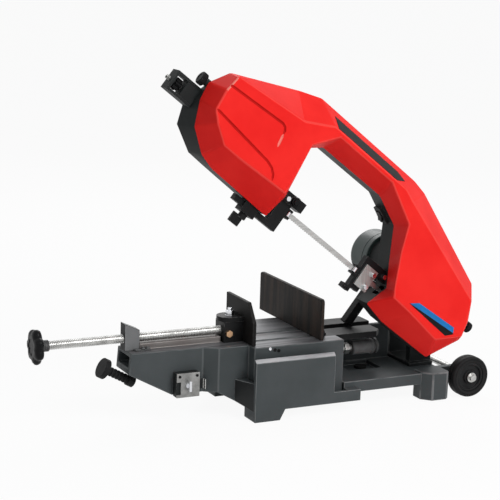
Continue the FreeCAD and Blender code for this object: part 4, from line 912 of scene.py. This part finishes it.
def red_lacquer(name, red, deep):
    made, at = new_finish(name)
    peel = noise(at, 420, 2)
    cloud = noise(at, 7, 4)
    colour = mixed(ramp(cloud, 0.3, 0.75), red, deep)
    sockets = {"Base Color": colour, "Roughness": 0.45 + 0.10 * cloud, "Specular IOR Level": 0.05}
    return end_finish(made, at, sockets, peel, 0.012)


groove_painted_shade = red_lacquer("groove_painted_shade_lacquer", GROOVE_SHADE_RED, tuple(0.8 * value for value in GROOVE_SHADE_RED))
pale_painted_highlight = red_lacquer("pale_highlight_lacquer", PALE_HIGHLIGHT_RED, tuple(0.9 * value for value in PALE_HIGHLIGHT_RED))
rim_painted_highlight = red_lacquer("rim_painted_highlight_lacquer", RIM_HIGHLIGHT_RED, tuple(0.9 * value for value in RIM_HIGHLIGHT_RED))
for finish in (red_lacquer("red_cover_lacquer", RED, RED_DEEP), rim_painted_highlight, pale_painted_highlight):
    cover.data.materials.append(finish)
# The narrow rim faces next to the front are painted a lighter red, a painted highlight along the rolled
# edge; those inside the two marks take the pale red, brighter painted highlights.
for face in cover.data.polygons:
    level = head_down @ face.center / MM
    if cover_front + 0.02 < level.y < cover_front + RIM_DEPTH and -0.985 < face.normal.y < -0.3:
        inside = [low[0] < level.x < high[0] and low[1] < level.z < high[1] for low, high in RIM_HIGHLIGHT_MARKS]
        face.material_index = 2 if any(inside) else 1
# The grooves' walls take the darker red, painted shade in the hollows.
for route in IDLER_GROOVES + DRIVE_GROOVES:
    groove(cover, route, GROOVE_RADIUS, GROOVE_DEPTH, groove_painted_shade)
# The end of the idler's upper groove is cut with the pale red, a painted highlight on its facet.
for route in HIGHLIT_GROOVE_ENDS:
    groove(cover, route, GROOVE_RADIUS, GROOVE_DEPTH, pale_painted_highlight)
dressed(smoothed(cover, 40.0), groove_painted_shade, "front_cover")

# Labels: bare printed plates glued on the cover, a black strip on the arch and a blue and black plate
# on the drive lobe. They are thin plastic film in plain colours.
LABEL_BLACK = (0.0075, 0.0078, 0.0082)
LABEL_BLUE = (0.016, 0.165, 0.44)
LABEL_SPLIT = ((331.0, 163.5), (476.0, 174.5))
FILM_EDGE = 0.15


def print_film(name, colour):
    made, at = new_finish(name)
    cloud = noise(at, 60, 3)
    tint = mixed(ramp(cloud, 0.3, 0.75), colour, tuple(1.2 * value for value in colour))
    sockets = {"Base Color": tint, "Roughness": 0.48 + 0.14 * cloud, "Specular IOR Level": 0.10}
    return end_finish(made, at, sockets, noise(at, 1500, 2), 0.004)


black_film = print_film("label_black_film", LABEL_BLACK)
fettled("arch_label", FILM_EDGE, black_film)
drive_label = welded("drive_label", "drive_label_plate")
split_low, split_high = (Vector((x, cover_front, z)) for x, z in LABEL_SPLIT)
split_up = Vector((split_low.z - split_high.z, 0, split_high.x - split_low.x)).normalized()
open_all(drive_label)
bpy.ops.mesh.bisect(plane_co=head_up @ (split_low * MM), plane_no=head_up.to_3x3() @ split_up)
bpy.ops.object.mode_set(mode="OBJECT")
dressed(smoothed(drive_label), print_film("label_blue_film", LABEL_BLUE), "drive_label")
drive_label.data.materials.append(black_film)
for face in drive_label.data.polygons:
    level = head_down @ face.center / MM
    face.material_index = 1 if (level - split_low).dot(split_up) < 0 else 0

# Band wheels: machined cast wheels with a rim flange and five lightening holes. The idler runs on a
# stepped axle in the tension block, the drive wheel sits on the gear case's shaft.
WHEEL_IRON = ((0.36, 0.365, 0.37), (0.48, 0.485, 0.49))
TENSION_BLOCK_EDGE = 0.8
BEARING_EDGE = 0.4


def machined_iron():
    made, at = new_finish("wheel_iron_finish")
    rings = noise(at, 300, 3, 0.6)
    cloud = ramp(noise(at, 18, 4), 0.3, 0.7)
    colour = mixed(cloud, *WHEEL_IRON)
    sockets = {"Base Color": colour, "Metallic": 0.75, "Roughness": 0.30 + 0.2 * cloud}
    return end_finish(made, at, sockets, rings, 0.012)


wheel_iron = machined_iron()
for node, edge, finish, slot in (
    ("idler_wheel", 0.7, wheel_iron, "wheel_iron"),
    ("drive_wheel", 0.7, wheel_iron, "wheel_iron"),
    ("idler_axle", 0.6, zinc_steel, "zinc_steel"),
    ("drive_shaft", 0.6, zinc_steel, "zinc_steel"),
):
    fettled(node, edge, finish)
cast_black("tension_block", TENSION_BLOCK_EDGE)
fettled("drive_bearing", BEARING_EDGE, bright_bolt)

# Band: the toothed steel loop, flat on the wheels and twisted upright between the guides.
# Its teeth are milled into one edge of a spring-steel strip, which is then welded into a ring.
BAND_THICK = 0.9
BAND_TEETH = 270
GULLET = 2.0
TOOTH_SHARE = 0.7
LOOP_WELD = 0.01
BAND_WELD = 0.05
BAND_STEEL = ((0.40, 0.40, 0.39), (0.52, 0.52, 0.51))
TWIST_LEFT = (-169.0, -69.8)
TWIST_RIGHT = (269.8, 327.0)
HALF_TURN_STEPS = 48
idler_low, idler_high = lowered("idler_axle")
drive_low, drive_high = lowered("drive_bearing")
band_low, band_high = lowered("blade")
idler_x = (idler_low.x + idler_high.x) / 2
drive_x = (drive_low.x + drive_high.x) / 2
wheel_z = (idler_low.z + idler_high.z) / 2
band_y = (band_low.y + band_high.y) / 2
band_radius = band_high.z - wheel_z - BAND_THICK / 2


def band_route():
    """The loop's middle line with the head level, starting under the drive wheel."""
    route = []
    for center_x, start in ((drive_x, -90), (idler_x, 90)):
        for step in range(HALF_TURN_STEPS + 1):
            angle = math.radians(start + 180 * step / HALF_TURN_STEPS)
            across, rise = band_radius * math.cos(angle), band_radius * math.sin(angle)
            route.append((center_x + across, band_y, wheel_z + rise))
    for x in TWIST_LEFT + TWIST_RIGHT:
        route.append((x, band_y, wheel_z - band_radius))
    return route


route = band_route()
length = sum(math.dist(before, after) for before, after in zip(route, route[1:] + route[:1]))
pitch = length / BAND_TEETH
half_width = (band_high.y - band_low.y) / 2
root = GULLET - half_width
link = [(0, half_width), (pitch, half_width), (pitch, root), (TOOTH_SHARE * pitch, root)]
link += [(0, -half_width), (0, root), (0, half_width)]
band = chain("toothed_band", [(along, across, -BAND_THICK / 2) for along, across in link])
open_all(band)
bpy.ops.mesh.remove_doubles(threshold=WELD * MM)
bpy.ops.mesh.edge_face_add()
bpy.ops.mesh.extrude_region_move(TRANSFORM_OT_translate={"value": (0, 0, BAND_THICK * MM)})
outward(band)
select_where(band, "FACE", lambda face: abs(face.normal.x) > 0.9 and face.center.y / MM > root)
bpy.ops.mesh.delete(type="FACE")
bpy.ops.object.mode_set(mode="OBJECT")
path = chain("band_path", route + route[:1])
open_all(path)
bpy.ops.mesh.remove_doubles(threshold=LOOP_WELD * MM)
take(path)
bpy.ops.object.convert(target="CURVE")
for point in path.data.splines[0].points:
    upright = TWIST_LEFT[1] - 0.1 < point.co.x / MM < TWIST_RIGHT[0] + 0.1 and point.co.z / MM < wheel_z
    point.tilt = math.pi / 2 if upright else 0.0
row = band.modifiers.new("row", "ARRAY")
row.count = BAND_TEETH
row.use_relative_offset = False
row.use_constant_offset = True
row.constant_offset_displace = (pitch * MM, 0, 0)
row.use_merge_vertices = True
row.merge_threshold = LOOP_WELD * MM
laid = band.modifiers.new("laid", "CURVE")
laid.object = path
laid.deform_axis = "POS_X"
apply_all(band)
bpy.data.objects.remove(path)
outward(band, BAND_WELD)
stood(band, (0, 0, 0), (0, 0, 1), head_up, 25.0)
band_grain = (240, 4, 0.6, (0.1, 1, 1))
spring_steel = worked_metal("band_steel_finish", BAND_STEEL, 0.85, (0.34, 0.15), 0.01, band_grain,
                            (0.3, 0.7))
dressed(band, spring_steel, "blade")

# Left blade guide: an L-shaped bar that slides in a clamp under the frame, with a head that holds two
# rollers. It is milled from bar and blackened, with a bright cap screw and a black knurled knob on its
# front.
GUIDE_EDGE = 0.6
CLAMP_EDGE = 0.8
GUIDE_KNOB = (-24.8, 6.5, 185.0)
GUIDE_KNOB_RADIUS = 11.0
GUIDE_KNOB_KNURLS = 18
GUIDE_KNOB_RINGS = (
    (0.2, 0.80), (0.6, 0.94), (1.2, 1.0), (9.0, 1.0), (9.6, 0.92), (9.8, 0.72), (12.6, 0.70),
    (13.6, 0.60), (13.6, 0.2),
)
KNOB_CORE = 0.7
KNURL_REACH = (1.0, 0.93)
left_guide = blackened("left_guide", GUIDE_EDGE)
guide_front = GUIDE_KNOB[1] - 0.3


def in_guide_knob(vertex):
    place = head_down @ vertex.co / MM
    reach = math.dist((place.x, place.z), (GUIDE_KNOB[0], GUIDE_KNOB[2]))
    return place.y < guide_front and reach < GUIDE_KNOB_RADIUS + 0.5


select_where(left_guide, "VERT", in_guide_knob)
knob_foot = head_up @ (Vector(GUIDE_KNOB) * MM)
bpy.ops.transform.resize(value=(KNOB_CORE, KNOB_CORE, KNOB_CORE), center_override=knob_foot)
bpy.ops.object.mode_set(mode="OBJECT")
cap_screw_high = (GUIDE_KNOB[0] - 12, guide_front, BEYOND)
faces_in(left_guide, bright_bolt, (-BEYOND, -BEYOND, 0), cap_screw_high, head_down)
guide_knob = pressed("guide_knurled_knob", GUIDE_KNOB_RADIUS, GUIDE_KNOB_RINGS, GUIDE_KNOB_KNURLS,
                     KNURL_REACH)
stood(guide_knob, GUIDE_KNOB, (0, -1, 0), head_up, 25.0)
dressed(guide_knob, black_plastic, "left_guide", False)
for node in ("guide_clamp", "guide_lever"):
    blackened(node, CLAMP_EDGE)

# Right blade guide: a fixed post on the drive lobe with a satin steel plate on its front and a chip
# wiper, held by bright cap screws. Both guides run the band between two small hardened rollers each.
PLATE_THICK = 6.0
PLATE_STEEL = ((0.34, 0.35, 0.34), (0.46, 0.47, 0.46))
ROLLER_EDGE = 0.5
plate_back = lowered("guide_plate")[1].y
right_guide = blackened("right_guide", GUIDE_EDGE)
faces_in(right_guide, bright_bolt, (-BEYOND, -BEYOND, 0), (BEYOND, plate_back - 1, BEYOND), head_down)
plate_grain = (260, 3, 0.6, (1, 1, 0.08))
satin_steel = worked_metal("guide_plate_finish", PLATE_STEEL, 0.8, (0.36, 0.18), 0.01, plate_grain,
                           (0.3, 0.7))
guide_plate = fettled("guide_plate", GUIDE_EDGE, satin_steel)
screws_high = (BEYOND, plate_back - PLATE_THICK - 0.5, BEYOND)
faces_in(guide_plate, bright_bolt, (-BEYOND, -BEYOND, 0), screws_high, head_down)
for side in ("left", "right"):
    for place in ("front", "back"):
        fettled("roller_%s_%s" % (side, place), ROLLER_EDGE, bright_bolt)

# Band tension: a black bracket at the idler end holds the hand nut on the tension screw.
# The bracket is welded from bar round a drilled block, the nut is moulded, the screw is rolled.
TENSION_EDGE = 0.8
TENSION_NUT_EDGE = 1.0
TENSION_DEPTH = 0.6
TENSION_PITCH = 1.5
YOKE_X = (33.0, 69.0)
YOKE_SIDE = 1.0
YOKE_FACE = 5.0
YOKE_EDGE = 1.2
DRILL_ROOM = 1.0
bracket_low, bracket_high = lowered("tension_bracket")
bolt_low, bolt_high = lowered("tension_screw")
bolt_radius = (bolt_high.z - bolt_low.z) / 2
bolt_length = bolt_high.x - bolt_low.x
bolt_at = left_end(bolt_low, bolt_high)
fettled("tension_bracket", TENSION_EDGE, black_casting, black_casting_edges)
fettled("tension_nut", TENSION_NUT_EDGE, black_plastic, rounds=CASTING_ROUNDS)
tension_thread = threaded("tension_thread", bolt_radius, TENSION_DEPTH, TENSION_PITCH, bolt_length, 16)
stood(tension_thread, bolt_at, (1, 0, 0), head_up, 20.0)
dressed(tension_thread, zinc_steel, "tension_screw")
yoke_low = bracket_low + Vector((YOKE_X[0], YOKE_SIDE, YOKE_FACE))
yoke_high = Vector((bracket_low.x + YOKE_X[1], bracket_high.y - YOKE_SIDE, bracket_high.z - YOKE_FACE))
yoke = block("tension_yoke_block", yoke_low, yoke_high)
bpy.ops.object.mode_set(mode="EDIT")
bpy.ops.mesh.bevel(offset=YOKE_EDGE * MM, segments=2, affect="EDGES")
bpy.ops.object.mode_set(mode="OBJECT")
drill = pressed("drill", bolt_radius + DRILL_ROOM, [(0, 1.0), (bolt_length, 1.0)], 32)
cut_away(yoke, stood(drill, bolt_at, (1, 0, 0)))
stood(yoke, (0, 0, 0), (0, 0, 1), head_up)
dressed(yoke, black_casting, "tension_bracket", False)

# Cover knobs: two black knurled thumb nuts of two sizes, one at each end of the frame, which hold
# the cover on. They are moulded in plastic on the end of a steel stud.
THUMB_DEPTH = 14.0
THUMB_KNURLS = 30
THUMB_REACH = (1.0, 0.95)
THUMB_RINGS = (
    (0, 0.86), (0.8, 0.97), (1.6, 1.0), (11.4, 1.0), (12.6, 0.97), (13.4, 0.88), (14, 0.76), (14, 0.52),
    (13.0, 0.48), (13.0, 0.2),
)
STUD_LENGTH = 27.0
STUD_RADIUS = 4.0
for node, toward in (("cover_knob_left", -1), ("cover_knob_right", 1)):
    low, high = lowered(node)
    thumb_radius = (high.z - low.z) / 2
    stud = STUD_RADIUS / thumb_radius
    rings = ((-STUD_LENGTH, stud), (0, stud)) + THUMB_RINGS
    thumb_nut = pressed(node + "_knurled", thumb_radius, rings, THUMB_KNURLS, THUMB_REACH)
    end_x = low.x + THUMB_DEPTH if toward < 0 else high.x - THUMB_DEPTH
    thumb_at = (end_x, (low.y + high.y) / 2, (low.z + high.z) / 2)
    stood(thumb_nut, thumb_at, (toward, 0, 0), head_up, 25.0)
    dressed(thumb_nut, black_plastic, node)

# Switch: a black rocker in the bezel on the throat side of the frame.
# It is moulded in plastic and snapped into the bezel.
ROCKER_EDGE = 0.6
fettled("switch_rocker", ROCKER_EDGE, black_plastic)

# Motor: a round housing with a fan cowl behind the gear case, sprayed dark green-grey, with a gland on
# top. The housing is cast and turned, the cowl is pressed, and the back carries the fan's ring slots.
MOTOR_GREEN = (0.026, 0.044, 0.041)
COWL_ROUND = 14.0
COWL_STEPS = 8
FAN_RINGS = (42.0, 34.0, 26.0, 18.0)
FAN_SLOT_WIDTH = 3.0
FAN_SLOT_DEPTH = 2.0
GLAND_BACK = 36.0
GLAND_FLATS = 20.0
GLAND_RINGS = ((12, 0.9), (12.6, 1.0), (19.2, 1.0), (20, 0.9), (20, 0.36), (8, 0.34))
NECK_SECTION = ((4, 0), (9, 0), (9, 11.4), (8.4, 12), (4, 12), (4, 0))
GEAR_CASE_EDGE = 2.5
motor_low, motor_high = lowered("motor_body")
motor_radius = (motor_high.x - motor_low.x) / 2
motor_at = Vector((motor_low.x + motor_radius, motor_low.y, motor_low.z + motor_radius))
motor_length = motor_high.y - motor_low.y


def motor_enamel():
    made, at = new_finish("motor_enamel")
    peel = noise(at, 600, 2)
    cloud = ramp(noise(at, 14, 4), 0.3, 0.72)
    colour = mixed(cloud, MOTOR_GREEN, tuple(1.35 * value for value in MOTOR_GREEN))
    return end_finish(made, at, {"Base Color": colour, "Roughness": 0.38 + 0.12 * cloud}, peel, 0.02)


motor_paint = motor_enamel()
waist = motor_radius - 1.2
section = [(0, 0), (motor_radius - 1.5, 0), (motor_radius, 1.5), (motor_radius, 17.0)]
section += [(waist, 17.6), (waist, 19.0), (motor_radius, 19.6)]
for step in range(COWL_STEPS + 1):
    angle = math.radians(90 * step / COWL_STEPS)
    reach = motor_radius - COWL_ROUND + COWL_ROUND * math.cos(angle)
    section.append((reach, motor_length - COWL_ROUND + COWL_ROUND * math.sin(angle)))
slot_floor = motor_length - FAN_SLOT_DEPTH
for ring in FAN_RINGS:
    inner = ring - FAN_SLOT_WIDTH
    section += [(ring, motor_length), (ring, slot_floor), (inner, slot_floor), (inner, motor_length)]
motor = spun("motor_housing", section + [(0, motor_length)], WHEEL_SIDES)
stood(motor, motor_at, (0, 1, 0), head_up)
dressed(motor, motor_paint, "motor_body")
gland_at = motor_at + Vector((0, GLAND_BACK, motor_radius - 2))
gland = pressed("motor_gland", GLAND_FLATS / math.sqrt(3), GLAND_RINGS, 6)
dressed(stood(gland, gland_at, (0, 0, 1), head_up), black_plastic, "motor_body", False)
neck = spun("motor_gland_neck", NECK_SECTION, 40)
dressed(stood(neck, gland_at, (0, 0, 1), head_up), motor_paint, "motor_body", False)
cast_black("gear_case", GEAR_CASE_EDGE, CASTING_ROUNDS)

# Head carrier: the stop leg, the pivot shaft and the lever that clamps the head's angle.
# The leg and the lever are cut from bar and blackened, the shaft is turned and zinc-plated.
LEG_EDGE = 1.2
SHAFT_EDGE = 0.8
LEVER_EDGE = 0.6
blackened("stop_leg", LEG_EDGE)
fettled("pivot_shaft", SHAFT_EDGE, zinc_steel)
fettled("clamp_lever", LEVER_EDGE, black_steel)

# Floor and light: a plain pale studio floor and backdrop, one large soft lamp over the front and two
# fills. Floor and backdrop show white to the camera and in bright metal, and the floor keeps the shadow.
FLOOR_SIZE = 40.0
FLOOR_GLOW = 0.93
FLOOR_GREYS = ((0.88, 0.88, 0.88), (0.90, 0.90, 0.90))
WHITE = (1, 1, 1, 1)
SKY_FILL = (0.95, 0.97, 1.0, 1)
SKY_STRENGTH = (0.16, 0.58)
LAMP_TARGET = Vector((0.06, 0.10, 0.38))
LAMPS = (
    ("key_lamp", (0.9, -2.6, 2.6), 1.8, 74.0),
    ("left_lamp", (-2.6, -1.6, 1.6), 1.4, 5.0),
    ("back_lamp", (1.2, 2.4, 2.2), 1.6, 26.0),
)
bpy.ops.object.select_all(action="DESELECT")
bpy.ops.mesh.primitive_plane_add(size=FLOOR_SIZE, location=(0, 0, 0))
floor = bpy.context.object
floor.name = "studio_floor"
floor_finish, floor_at = new_finish("pale_floor")
pale = mixed(noise(floor_at, 2.0, 2), *FLOOR_GREYS)
floor_matt = floor_at.node("BsdfDiffuse", {}, {"Color": pale})
floor_white = floor_at.node("Emission", {}, {"Color": WHITE, "Strength": 1.0})


def shown_rays(tree):
    """One for the rays that show the background, in the picture or mirrored in metal, else nothing."""
    light_path = tree.nodes.new("ShaderNodeLightPath")
    shown = Wire(tree, light_path.outputs["Is Camera Ray"])
    for ray in ("Is Glossy Ray", "Is Transmission Ray"):
        shown = shown.maths("MAXIMUM", shown, Wire(tree, light_path.outputs[ray]))
    return shown


floor_share = shown_rays(floor_finish.node_tree) * FLOOR_GLOW
floor_mix = floor_at.node("MixShader", {}, {0: floor_share, 1: floor_matt, 2: floor_white})
floor_at.node("OutputMaterial", {}, {"Surface": floor_mix})
floor.data.materials.append(floor_finish)

world = bpy.data.worlds.new("studio")
bpy.context.scene.world = world
world.use_nodes = True
world.node_tree.nodes.clear()
sky = Wire(world.node_tree, None)
shown = shown_rays(world.node_tree)
backdrop = sky.node("Background", {}, {"Color": WHITE, "Strength": 1.0})
sky_way = sky.node("TexCoord", {}, {}, "Generated")
sky_x = sky_way.node("SeparateXYZ", {}, {"Vector": sky_way}, "X")
sky_light = {"Color": SKY_FILL, "Strength": ramp(sky_x, -0.8, 0.8, *SKY_STRENGTH)}
fill_light = sky.node("Background", {}, sky_light)
sky_mix = sky.node("MixShader", {}, {0: shown, 1: fill_light, 2: backdrop})
sky.node("OutputWorld", {}, {"Surface": sky_mix})

for name, place, size, power in LAMPS:
    lamp = bpy.data.lights.new(name, "AREA")
    lamp.size = size
    lamp.energy = power
    holder = bpy.data.objects.new(name, lamp)
    holder.location = place
    holder.rotation_euler = (LAMP_TARGET - Vector(place)).to_track_quat("-Z", "Y").to_euler()
    bpy.context.scene.collection.objects.link(holder)

# Camera: a long lens left of the front and a little above, turned slightly about its own axis,
# where the photo was taken from.
CAMERA_AT = Vector((-1.5477, -3.0830, 1.1196))
CAMERA_YAW = math.radians(26.28)
CAMERA_PITCH = math.radians(11.80)
CAMERA_ROLL = math.radians(1.75)
CAMERA_LENS = 115.2
CAMERA_SENSOR = 36.0
CAMERA_REACH = 60.0
forward = Vector((
    math.sin(CAMERA_YAW) * math.cos(CAMERA_PITCH),
    math.cos(CAMERA_YAW) * math.cos(CAMERA_PITCH),
    -math.sin(CAMERA_PITCH),
))
sideways = Vector((math.cos(CAMERA_YAW), -math.sin(CAMERA_YAW), 0))
upright = sideways.cross(forward)
right = sideways * math.cos(CAMERA_ROLL) + upright * math.sin(CAMERA_ROLL)
up = upright * math.cos(CAMERA_ROLL) - sideways * math.sin(CAMERA_ROLL)
lens = bpy.data.cameras.new("photo_camera")
lens.lens = CAMERA_LENS
lens.sensor_width = CAMERA_SENSOR
lens.clip_end = CAMERA_REACH
camera = bpy.data.objects.new("photo_camera", lens)
bpy.context.scene.collection.objects.link(camera)
stand = Matrix((right, up, -forward)).transposed().to_4x4()
camera.matrix_world = Matrix.Translation(CAMERA_AT) @ stand
bpy.context.scene.camera = camera
bpy.context.scene.view_settings.view_transform = "Standard"
